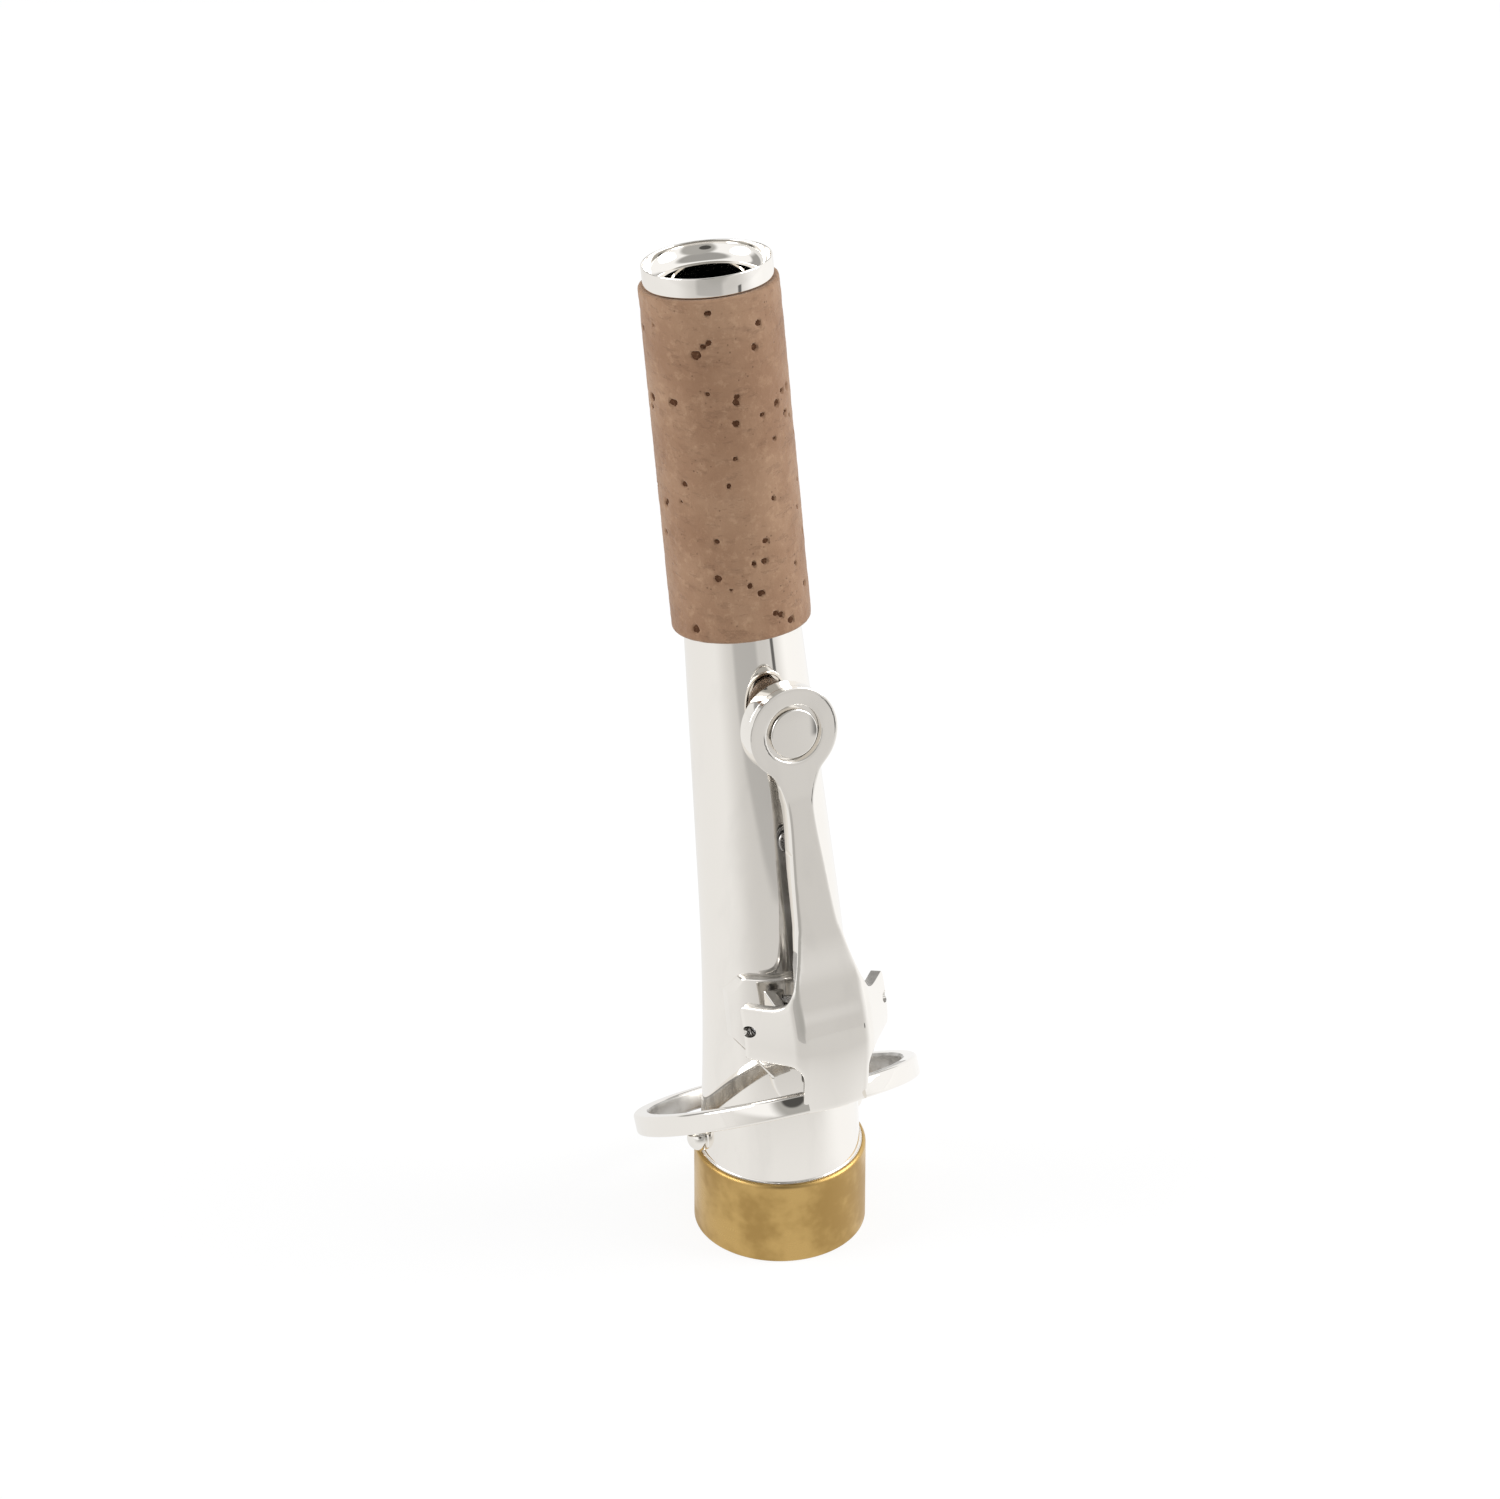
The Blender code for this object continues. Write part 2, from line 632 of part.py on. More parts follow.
def make_bridge(collections, hole):
    """Arched bridge under the shield, with a lug on each side for the hinge rod."""
    parts, cutters = collections
    frame, roof = bridge_frame()
    back = roof - BRIDGE_DEPTH
    centre = (BRIDGE_HALF_WIDTH - BRIDGE_CORNER, roof - BRIDGE_CORNER)
    foot = BRIDGE_HALF_WIDTH + BRIDGE_SPLAY
    half = [
        (0, roof),
        *arc(centre, BRIDGE_CORNER, pi / 2, 0),
        (foot, back - MM),
        (foot - BRIDGE_WALL, back - MM),
        *arc(centre, BRIDGE_CORNER - BRIDGE_WALL, 0, pi / 2),
        (0, roof - BRIDGE_WALL),
    ]
    across = frame @ Matrix.Rotation(pi / 2, 4, "X")
    bridge = prism("hinge_bridge", mirrored(half), REACH, across, parts)
    cross = prism("bridge_outline", mirrored(bridge_outline()), REACH, frame, cutters)
    boolean(bridge, cross, "INTERSECT", "MANIFOLD")
    top = BRIDGE_CROWN_TOP + MM
    bottom = BRIDGE_CROWN_BOTTOM + MM
    side = [
        (top, roof + MM),
        (top, back + LUG_CORNER),
        *arc((LUG_TOP - LUG_CORNER, back + LUG_CORNER), LUG_CORNER, 0, -pi / 2),
        *arc((LUG_CORNER - LUG_BOTTOM, back + LUG_CORNER), LUG_CORNER, -pi / 2, -pi),
        (-bottom, back + LUG_CORNER),
        (-bottom, roof + MM),
    ]
    ends = prism("lug_outline", side, REACH, frame @ SIDE_PLANE, cutters)
    boolean(bridge, ends, "INTERSECT", "MANIFOLD")
    boolean(bridge, hole, "DIFFERENCE", "MANIFOLD")
    return finish(bridge, SILVER)


def ear_outer_face():
    """Distance of an ear's outer face from the middle plane, inside the bridge's lugs."""
    return BRIDGE_HALF_WIDTH - BRIDGE_WALL - EAR_SIDE_GAP


def make_saddle(collections, hole):
    """Saddle soldered on the tube: a thin plate with a tongue, and two ears for the hinge rod."""
    parts, cutters = collections
    stations = bend_stations(HINGE - TONGUE_END - MM, HINGE + SADDLE_TOP + MM)
    radii = [tube_radius(station) + SKIN_HEIGHT for station in stations]
    saddle = swept_tube("key_saddle", stations, radii, parts)
    flank = [
        (SADDLE_HALF_WIDTH, -SADDLE_SIDE_BOTTOM),
        ((SADDLE_HALF_WIDTH + TONGUE_HALF_WIDTH) / 2, -(SADDLE_SIDE_BOTTOM + TONGUE_TOP) / 2),
        (TONGUE_HALF_WIDTH, -TONGUE_TOP),
    ]
    end = arc((0, TONGUE_HALF_WIDTH - TONGUE_END), TONGUE_HALF_WIDTH, 0, -pi / 2)
    half = [
        (0, SADDLE_TOP),
        (SADDLE_HALF_WIDTH - SADDLE_CORNER, SADDLE_TOP),
        (SADDLE_HALF_WIDTH, SADDLE_SIDE_TOP),
        *spline(flank, 4),
        *end,
    ]
    front = front_frame(HINGE, REACH)
    boolean(saddle, prism("saddle_outline", mirrored(half), REACH, front, cutters), "INTERSECT")

    pivot = tube_radius(HINGE) + PIVOT_HEIGHT
    base = tube_radius(HINGE) / 2
    ear = [
        (EAR_FOOT_HALF_LENGTH, base),
        *arc((0, pivot), EAR_RADIUS, 0, pi),
        (-EAR_FOOT_HALF_LENGTH, base),
    ]
    for side, name in ((-1, "left_ear"), (1, "right_ear")):
        offset = side * (ear_outer_face() - EAR_THICKNESS / 2)
        plane = Matrix.Translation((offset, 0, 0)) @ front_frame(HINGE) @ SIDE_PLANE
        boolean(saddle, prism(name, ear, EAR_THICKNESS / 2, plane, cutters), "UNION")
    low, high = stations[0] - MM, stations[-1] + MM
    boolean(saddle, wall_cutter("saddle_seat", FIT_GAP, low, high, cutters), "DIFFERENCE")
    boolean(saddle, hole, "DIFFERENCE")
    return finish(saddle, SILVER)


def make_rod(parts):
    """Steel hinge rod through both ears and both lugs."""
    half = BRIDGE_HALF_WIDTH - ROD_RECESS
    tip = ROD_RADIUS - ROD_CHAMFER
    profile = [
        (0, half),
        (tip, half),
        (ROD_RADIUS, half - ROD_CHAMFER),
        (ROD_RADIUS, ROD_CHAMFER - half),
        (tip, -half),
        (0, -half),
    ]
    rod = turned("hinge_rod", profile, hinge_frame(), parts, SMALL_SIDES, False)
    return finish(rod, STEEL)


def make_ring(collections):
    """Octave ring round the tenon, tilted down to the back, open where the arm's foot closes it."""
    parts, cutters = collections
    inner = TENON_RADIUS + RING_CLEARANCE
    outer = inner + RING_THICKNESS
    half = RING_HEIGHT / 2
    profile = [
        (inner + RING_EDGE, half),
        (outer - RING_EDGE, half),
        (outer, half - RING_EDGE),
        (outer, RING_EDGE - half),
        (outer - RING_EDGE, -half),
        (inner + RING_EDGE, -half),
        (inner, RING_EDGE - half),
        (inner, half - RING_EDGE),
    ]
    station = HINGE - FOOT_BELOW_HINGE + RING_HEIGHT / 2
    front = wall_point(station, face_height(station) - RING_THICKNESS / 2)
    middle = (inner + outer) / 2
    centre = front + Vector((0, middle, -middle * tan(RING_TILT)))
    tilt = Matrix.Rotation(-RING_TILT, 4, "X")
    stretch = Matrix.Diagonal((1, 1 / cos(RING_TILT), 1, 1))
    ring = turned("octave_ring", profile, Matrix.Translation(centre) @ tilt @ stretch, parts)
    half_gap = FOOT_HALF_WIDTH + FIT_GAP
    gap = [(half_gap, 0), (half_gap, -outer * 2), (-half_gap, -outer * 2), (-half_gap, 0)]
    boolean(ring, prism("foot_gap", gap, REACH * 2, Matrix.Translation(centre), cutters), "DIFFERENCE")
    return finish(ring, SILVER)


def screw_station():
    """Station of the screw that holds the spring to the arm."""
    return HINGE + SPRING_END_ABOVE_HINGE - SPRING_SCREW_INSET


def screw_hole(name, top, cutters):
    """Cutter for the spring screw's shank, from the axis out to a level."""
    radius = SCREW_SHANK_RADIUS + FIT_GAP
    profile = [(0, top), (radius, top), (radius, 0), (0, 0)]
    return turned(name, profile, front_frame(screw_station()), cutters, SMALL_SIDES, False)


def spring_top(station):
    """Height of the spring's outer face: under the arm, under the rod and on the saddle's tongue."""
    end = HINGE + SPRING_END_ABOVE_HINGE
    low_end = end - 2 * SPRING_SCREW_INSET
    line = spline([
        (HINGE - SPRING_TIP_BELOW_HINGE, SKIN_HEIGHT + FIT_GAP + SPRING_THICKNESS),
        (HINGE, PIVOT_HEIGHT - ROD_RADIUS - FIT_GAP),
        (low_end, arm_underside(low_end) - FIT_GAP),
        (end, arm_underside(end) - FIT_GAP),
    ])
    stations, heights = zip(*line)
    return float(np.interp(station, stations, heights))


def spring_bottom(station):
    """Height of the spring's inner face."""
    return spring_top(station) - SPRING_THICKNESS


def make_spring(collections):
    """Flat spring under the arm, with a round upper end."""
    parts, cutters = collections
    end = HINGE + SPRING_END_ABOVE_HINGE
    tip = HINGE - SPRING_TIP_BELOW_HINGE
    stations = list(np.linspace(end, tip, 4 * ARC_STEPS))
    round_end = arc((0, end - SPRING_HALF_WIDTH), SPRING_HALF_WIDTH, pi / 2, 0)
    outline = [*round_end, (SPRING_HALF_WIDTH, tip - MM), (0, tip - MM)]
    spring = bent_plate("flat_spring", stations, spring_top, spring_bottom, outline, collections)
    boolean(spring, screw_hole("spring_hole", REACH, cutters), "DIFFERENCE")
    return finish(spring, BLUED_STEEL)


def make_screw(parts):
    """Round-headed screw that holds the spring to the arm from below."""
    station = screw_station()
    wall = tube_radius(station)
    top = wall + arm_underside(station) + SCREW_DEPTH
    head = wall + spring_bottom(station) - FIT_GAP
    profile = [
        (0, top),
        (SCREW_SHANK_RADIUS, top),
        (SCREW_SHANK_RADIUS, head),
        (SCREW_HEAD_RADIUS, head),
        (SCREW_HEAD_RADIUS, head - SCREW_HEAD_HEIGHT / 2),
        (SCREW_HEAD_RADIUS * 0.7, head - SCREW_HEAD_HEIGHT),
        (0, head - SCREW_HEAD_HEIGHT),
    ]
    screw = turned("spring_screw", profile, front_frame(station), parts, SMALL_SIDES, False)
    return finish(screw, STEEL)


def make_studs(collections):
    """Round stud soldered on each side of the tube, just above the tenon."""
    parts, cutters = collections
    station = TENON_LENGTH + FIT_GAP + STUD_RADIUS
    reach = tube_radius(station) + STUD_STANDOFF
    seat = wall_cutter("stud_seat", FIT_GAP, station - 2 * STUD_RADIUS, station + 2 * STUD_RADIUS, cutters)
    for side, name in ((-1, "left_stud"), (1, "right_stud")):
        shape = bmesh.new()
        bmesh.ops.create_uvsphere(shape, u_segments=SMALL_SIDES, v_segments=12, radius=STUD_RADIUS)
        mesh = bpy.data.meshes.new(name)
        shape.to_mesh(mesh)
        shape.free()
        across = Vector((side * cos(STUD_BEHIND_SIDE), sin(STUD_BEHIND_SIDE), 0)) * reach
        stud = add_object(name, mesh, Matrix.Translation(axis_point(station) + across), parts)
        boolean(stud, seat, "DIFFERENCE")
        finish(stud, SILVER)


def hang_on_hinge(items, parts):
    """Parent the key's pieces to an empty on the hinge's axis."""
    pivot = bpy.data.objects.new("octave_key_hinge", None)
    pivot.location = pivot_point()
    parts.objects.link(pivot)
    bpy.context.view_layer.update()
    for item in items:
        item.parent = pivot
        item.matrix_parent_inverse = pivot.matrix_world.inverted()


def main():
    """Build the neck and hang its octave key on the hinge."""
    for item in list(bpy.data.objects):
        bpy.data.objects.remove(item)
    parts = make_collection("soprano_saxophone_neck")
    cutters = make_collection("cutters")
    collections = (parts, cutters)
    hole = pivot_hole(cutters)
    make_tube(parts, cutters)
    make_tenon(parts)
    make_cork(parts)
    make_tip_ring(parts)
    make_pip(parts)
    make_saddle(collections, hole)
    make_rod(parts)
    make_studs(collections)
    key = [
        make_arm(collections),
        make_cup(parts),
        make_pad(parts),
        make_bridge(collections, hole),
        make_ring(collections),
        make_spring(collections),
        make_screw(parts),
    ]
    hang_on_hinge(key, parts)


main()
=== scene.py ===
"""Neck of a soprano saxophone with its sprung octave key, as a Blender add-on run as a script.

Metres, +Z up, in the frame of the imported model. Stations are arc lengths along the neck's axis from
the tenon's lower end. The octave key is on the front of the neck, which faces -Y.
"""

from math import acos, asin, atan2, cos, pi, radians, sin, sqrt, tan

import bmesh
import bpy
import numpy as np
from bpy.props import FloatProperty, FloatVectorProperty, IntProperty, PointerProperty
from bpy.types import Operator, Panel, PropertyGroup
from mathutils import Matrix, Vector, noise


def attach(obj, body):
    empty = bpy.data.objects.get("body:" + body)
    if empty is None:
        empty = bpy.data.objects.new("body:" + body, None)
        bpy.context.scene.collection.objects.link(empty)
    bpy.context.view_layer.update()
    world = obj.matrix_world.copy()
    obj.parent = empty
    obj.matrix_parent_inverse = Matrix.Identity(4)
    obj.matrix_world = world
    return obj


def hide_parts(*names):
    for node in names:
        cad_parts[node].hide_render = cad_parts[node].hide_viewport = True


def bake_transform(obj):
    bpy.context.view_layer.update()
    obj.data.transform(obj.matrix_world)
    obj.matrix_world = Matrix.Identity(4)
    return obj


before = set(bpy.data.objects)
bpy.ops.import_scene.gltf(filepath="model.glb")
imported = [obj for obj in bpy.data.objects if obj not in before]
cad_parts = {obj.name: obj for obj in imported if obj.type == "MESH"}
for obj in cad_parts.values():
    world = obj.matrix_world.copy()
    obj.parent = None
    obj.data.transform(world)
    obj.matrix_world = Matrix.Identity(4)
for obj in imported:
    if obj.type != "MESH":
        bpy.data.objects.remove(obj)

bl_info = {
    "name": "Soprano saxophone neck",
    "version": (1, 0, 0),
    "blender": (4, 5, 0),
    "location": "3D View > Sidebar > Neck",
    "description": "Builds the neck, its octave key and a plain studio round the packed model",
    "category": "Add Mesh",
}

MM = 0.001

# Points and steps of the meshes
SEGMENTS = 160
SMALL_SEGMENTS = 64
EDGE_STEPS = 6
CURVE_STEPS = 12
TUBE_ROWS = 121
BORE_ROWS = 49
PAD_ROWS = 60
FLARE_POINTS = 9
FLARE_SPREAD = 1.6
BEND_STRIPS = 16
SHIELD_STRIPS = 11
SADDLE_ACROSS = 57
SADDLE_ALONG = 26
STRIP = 0.35 * MM
SPRING_STRIP = 0.5 * MM
MERGE = 1e-7

# Shares of a plate's thickness that its edges are rounded over
ARM_ROLL = 0.1
PLATE_ROLL = 0.2

# How squarely a face looks inward before it is left unpolished and darkened as painted shade
INWARD = 0.35

# Boxes that cut slots and the octave ring's gap
SLOT_LENGTH = 4.0 * MM
RING_CUT_DEPTH = 20.0 * MM
RING_CUT_HEIGHT = 60.0 * MM

# Surface of the cork, and the pores in it
CORK_BUMPS = 700.0
CORK_LEVEL = 0.35
PORE_POINTS = 162
PORE_SMALLEST = (0.2, 0.2, 0.08)
PORE_LARGEST = (0.95, 0.75, 0.1)
PORE_WAVES = 2200.0
PORE_WAVE_SHARE = 0.7
PORE_CRUMBS = 1800.0
PORE_RAGGED = 0.4
PORE_WALL = (0.75, 1.1)
PORE_SINK = 1.3

# Starts and ends of the tones that polished metal sees, by level direction
WHITE_SIDE = (0.3, 0.9)
GREY_FRONT = (0.3, 0.95)
FRONT_TURN = -0.2
FLAG_LEFT = (-0.08, -0.03)
FLAG_RIGHT = (0.08, 0.03)
FLAG_FRONT = (0.0, -0.3)
GAP_SIDES = (0.90, 0.955)
GAP_DEPTH = 0.3

# Starts and ends of those tones on the floor, by distance from the object
FRONT_NEAR = (10 * MM, 90 * MM)
FLAG_NEAR = (280 * MM, 330 * MM)
FLAG_FAR = (1300 * MM, 1000 * MM)
GAP_NEAR = (430 * MM, 520 * MM)

# Starts and ends of tones in the room, by height, by how far back and by cone
HORIZON = (0.12, 0.24)
STRIP_BACK = (0.5, 0.75)
STRIP_LOW = (0.14, 0.2)
STRIP_HIGH = (0.5, 0.42)
OVERHEAD = (0.8, 0.9)
SHADOW_CONE = (0.80, 0.90)
CAMERA_CONE = (0.978, 0.988)

# The floor, and how much of what it shows is its own glow
FLOOR_RADIUS = 4.0
FLOOR_SEGMENTS = 96
FLOOR_SEEN_WHITE = 0.85
FLOOR_MIRRORED = 0.95


def length(name, description, millimetres):
    """A length property whose default is given in millimetres."""
    return FloatProperty(
        name=name,
        description=description,
        default=millimetres * MM,
        precision=5,
        subtype="DISTANCE",
        unit="LENGTH",
    )


def angle(name, description, degrees):
    """An angle property whose default is given in degrees."""
    return FloatProperty(
        name=name, description=description, default=radians(degrees), subtype="ANGLE", unit="ROTATION"
    )


def power(name, description, watts):
    """A power property whose default is given in watts."""
    return FloatProperty(name=name, description=description, default=watts, unit="POWER")


def colour(name, description, default):
    """A linear colour property."""
    return FloatVectorProperty(
        name=name, description=description, default=default, size=3, min=0, max=1, subtype="COLOR"
    )


class NeckSizes(PropertyGroup):
    """Sizes of the tube and of what is fixed to its ends."""

    tenon_length: length("Tenon length", "Height of the brass tenon", 9.7)
    tenon_radius: length("Tenon radius", "Outer radius of the tenon", 9.0)
    tenon_edge: length("Tenon edge", "Rounding of the tenon's upper edge", 0.49)
    tenon_chamfer: length("Tenon chamfer", "Chamfer of the tenon's lower edge", 0.25)
    tenon_lip: length("Tenon lip", "Rounding of the lower edge of the tenon's bore", 0.15)
    tenon_socket: length("Tenon socket", "Depth of the socket that takes the tube", 6.0)
    tube_lower: length("Tube lower radius", "Outer radius of the tube at the tenon", 8.37)
    tube_cork: length("Tube cork radius", "Outer radius of the tube at the cork", 5.97)
    tube_tip: length("Tube tip radius", "Outer radius of the tube at its upper end", 4.85)
    tube_wall: length("Tube wall", "Thickness of the tube's wall", 0.5)
    joint_gap: length("Joint gap", "Width of the lines between fixed pieces", 0.3)
    bend_start: length("Bend start", "Station where the axis starts to bend", 10.0)
    bend_run: length("Bend run", "Length of the bend along the axis", 30.0)
    bend_angle: angle("Bend angle", "Lean of the upper part of the neck", 12.44)
    cork_start: length("Cork start", "Station of the cork's lower end", 68.7)
    cork_length: length("Cork length", "Length of the cork", 36.4)
    cork_radius: length("Cork radius", "Outer radius of the cork", 7.15)
    cork_edge: length("Cork edge", "Rounding of the cork's lower edge", 0.45)
    cork_top_edge: length("Cork top edge", "Rounding of the cork's upper edge", 0.27)
    cork_relief: length("Cork relief", "Height of the cork's uneven surface", 0.05)
    cork_step: length("Cork step", "Largest distance between the cork's mesh points", 0.18)
    pore_count: IntProperty(name="Pore density", description="Pores on a square metre", default=62000)
    pore_seed: IntProperty(name="Pore seed", description="Seed of the pores' places", default=11)
    pore_radius: length("Pore radius", "Largest radius of a pore in the cork", 0.8)
    pore_depth: length("Pore depth", "Depth of a pore in the cork", 0.22)
    spigot_step: length("Spigot step", "How much thinner the tube is inside the tenon", 0.12)
    solder: length("Solder fillet", "Size of the fillet where the tube meets the tenon", 0.22)
    ring_radius: length("Tip ring radius", "Outer radius of the ring on the tip", 6.65)
    ring_height: length("Tip ring height", "Height of the ring on the tip", 2.08)
    ring_rim: length("Tip ring rim", "Width of the rim round the dish", 0.22)
    ring_edge: length("Tip ring edge", "Rounding of the ring's lower edge", 0.12)
    ring_dish: length("Tip ring dish", "Depth of the dish inside the rim", 2.0)
    ring_gap: length("Tip ring gap", "Width of the line between the ring and the cork", 0.1)
    ring_spigot: length("Tip ring spigot", "How far the ring's sleeve reaches into the cork", 2.4)
    ring_bore: length("Tip ring bore", "Inner radius of the ring's sleeve", 4.75)
    stud_radius: length("Stud radius", "Radius of the studs above the tenon", 1.4)
    stud_standoff: length("Stud standoff", "Distance of a stud's middle from the tube's wall", 0.4)
    stud_collar: length("Stud collar", "Width of the fillet round a stud's foot", 0.12)
    stud_collar_depth: length("Stud collar depth", "Depth of that fillet", 0.15)
    stud_root: length("Stud root", "How far a stud's root goes below its foot", 0.6)
    stud_turn: angle("Stud turn", "How far the studs sit behind the tube's sides", 8.0)


class KeySizes(PropertyGroup):
    """Sizes of the octave key's arm, cup, pad and ring."""

    eye: length("Eye station", "Station of the middle of the eye", 59.7)
    eye_height: length("Eye height", "Height of the eye's face over the tube", 4.6)
    eye_thickness: length("Eye thickness", "Thickness of the arm round the eye", 0.8)
    eye_turn: angle("Eye turn", "How far below its middle the eye runs on before the fillet", 48.0)
    cup_radius: length("Cup radius", "Outer radius of the pad cup and the eye", 4.85)
    cup_wall: length("Cup wall", "Thickness of the cup's skirt", 0.5)
    cup_roof: length("Cup roof", "Thickness of the cup's roof", 0.45)
    cup_depth: length("Cup depth", "Depth of the cup's skirt", 1.65)
    boss_radius: length("Boss radius", "Radius of the boss in the eye", 2.6)
    cup_edge: length("Cup edge", "Rounding of the cup's upper edge", 0.1)
    skirt_edge: length("Skirt edge", "Rounding of the cup's lower edges", 0.15)
    cup_line: length("Cup line", "Width of the line between the cup and the eye", 0.05)
    boss_height: length("Boss height", "How far the boss stands out of the eye", 0.1)
    boss_edge: length("Boss edge", "Rounding of the boss's edge", 0.2)
    boss_groove: length("Boss groove", "Width of the groove round the boss", 0.45)
    pip_radius: length("Pip radius", "Radius of the vent pipe under the pad", 1.9)
    pip_bore: length("Pip bore", "Radius of the vent", 0.75)
    pip_edge: length("Pip edge", "Rounding of the vent pipe's outer edge", 0.35)
    pip_bore_edge: length("Pip bore edge", "Rounding of the vent's mouth", 0.15)
    pip_height: length("Pip height", "Height of the vent pipe over the tube", 1.0)
    pad_edge: length("Pad edge", "Rounding of the pad's lower edge", 0.45)
    pad_top_edge: length("Pad top edge", "Chamfer of the pad's upper edge", 0.2)
    pad_press: length("Pad press", "Depth of the ring that the vent presses into the pad", 0.12)
    pad_press_width: length("Pad press width", "Half width of that ring", 0.35)
    pad_press_inset: length("Pad press inset", "How far that ring lies inside the vent pipe's edge", 0.3)
    fillet: length("Fillet station", "Station where the arm leaves the eye", 55.0)
    fillet_width: length("Fillet half width", "Half width of the arm under the eye", 2.35)
    neck: length("Arm neck station", "Station where the arm is narrowest", 50.2)
    neck_height: length("Arm neck height", "Height of the arm's face there", 4.5)
    neck_width: length("Arm neck half width", "Half width of the arm there", 1.5)
    root: length("Arm root station", "Station where the arm widens", 40.0)
    root_height: length("Arm root height", "Height of the arm's face there", 5.2)
    root_width: length("Arm root half width", "Half width of the arm there", 2.2)
    shield: length("Shield station", "Station of the shield's shoulders", 32.7)
    shield_height: length("Shield height", "Height of the shield's face there", 6.5)
    crown: length("Crown station", "Station of the shield's highest line", 27.7)
    crown_height: length("Crown height", "Height of the shield's face there", 7.37)
    foot: length("Foot station", "Station of the foot's lower end", 21.0)
    foot_height: length("Foot height", "Height of the foot's face there", 6.5)
    foot_width: length("Foot half width", "Half width of the foot", 3.7)
    arm_thickness: length("Arm thickness", "Thickness of the arm", 2.0)
    foot_thickness: length("Foot thickness", "Thickness of the shield and foot", 1.6)
    arm_edge: length("Arm edge", "Width of the rounded edges of the arm and lugs", 0.5)
    ring_inner: length("Ring inner radius", "Inner radius of the octave ring", 13.2)
    ring_outer: length("Ring outer radius", "Outer radius of the octave ring", 14.8)
    ring_height: length("Ring height", "Height of the octave ring's band", 2.2)
    ring_edge: length("Ring edge", "Rounding of the octave ring's edges", 0.35)
    ring_lap: length("Ring lap", "How far the ring's ends run behind the foot's edges", 0.5)
    ring_tilt: angle("Ring tilt", "Tilt of the octave ring down to the back", 31.5)


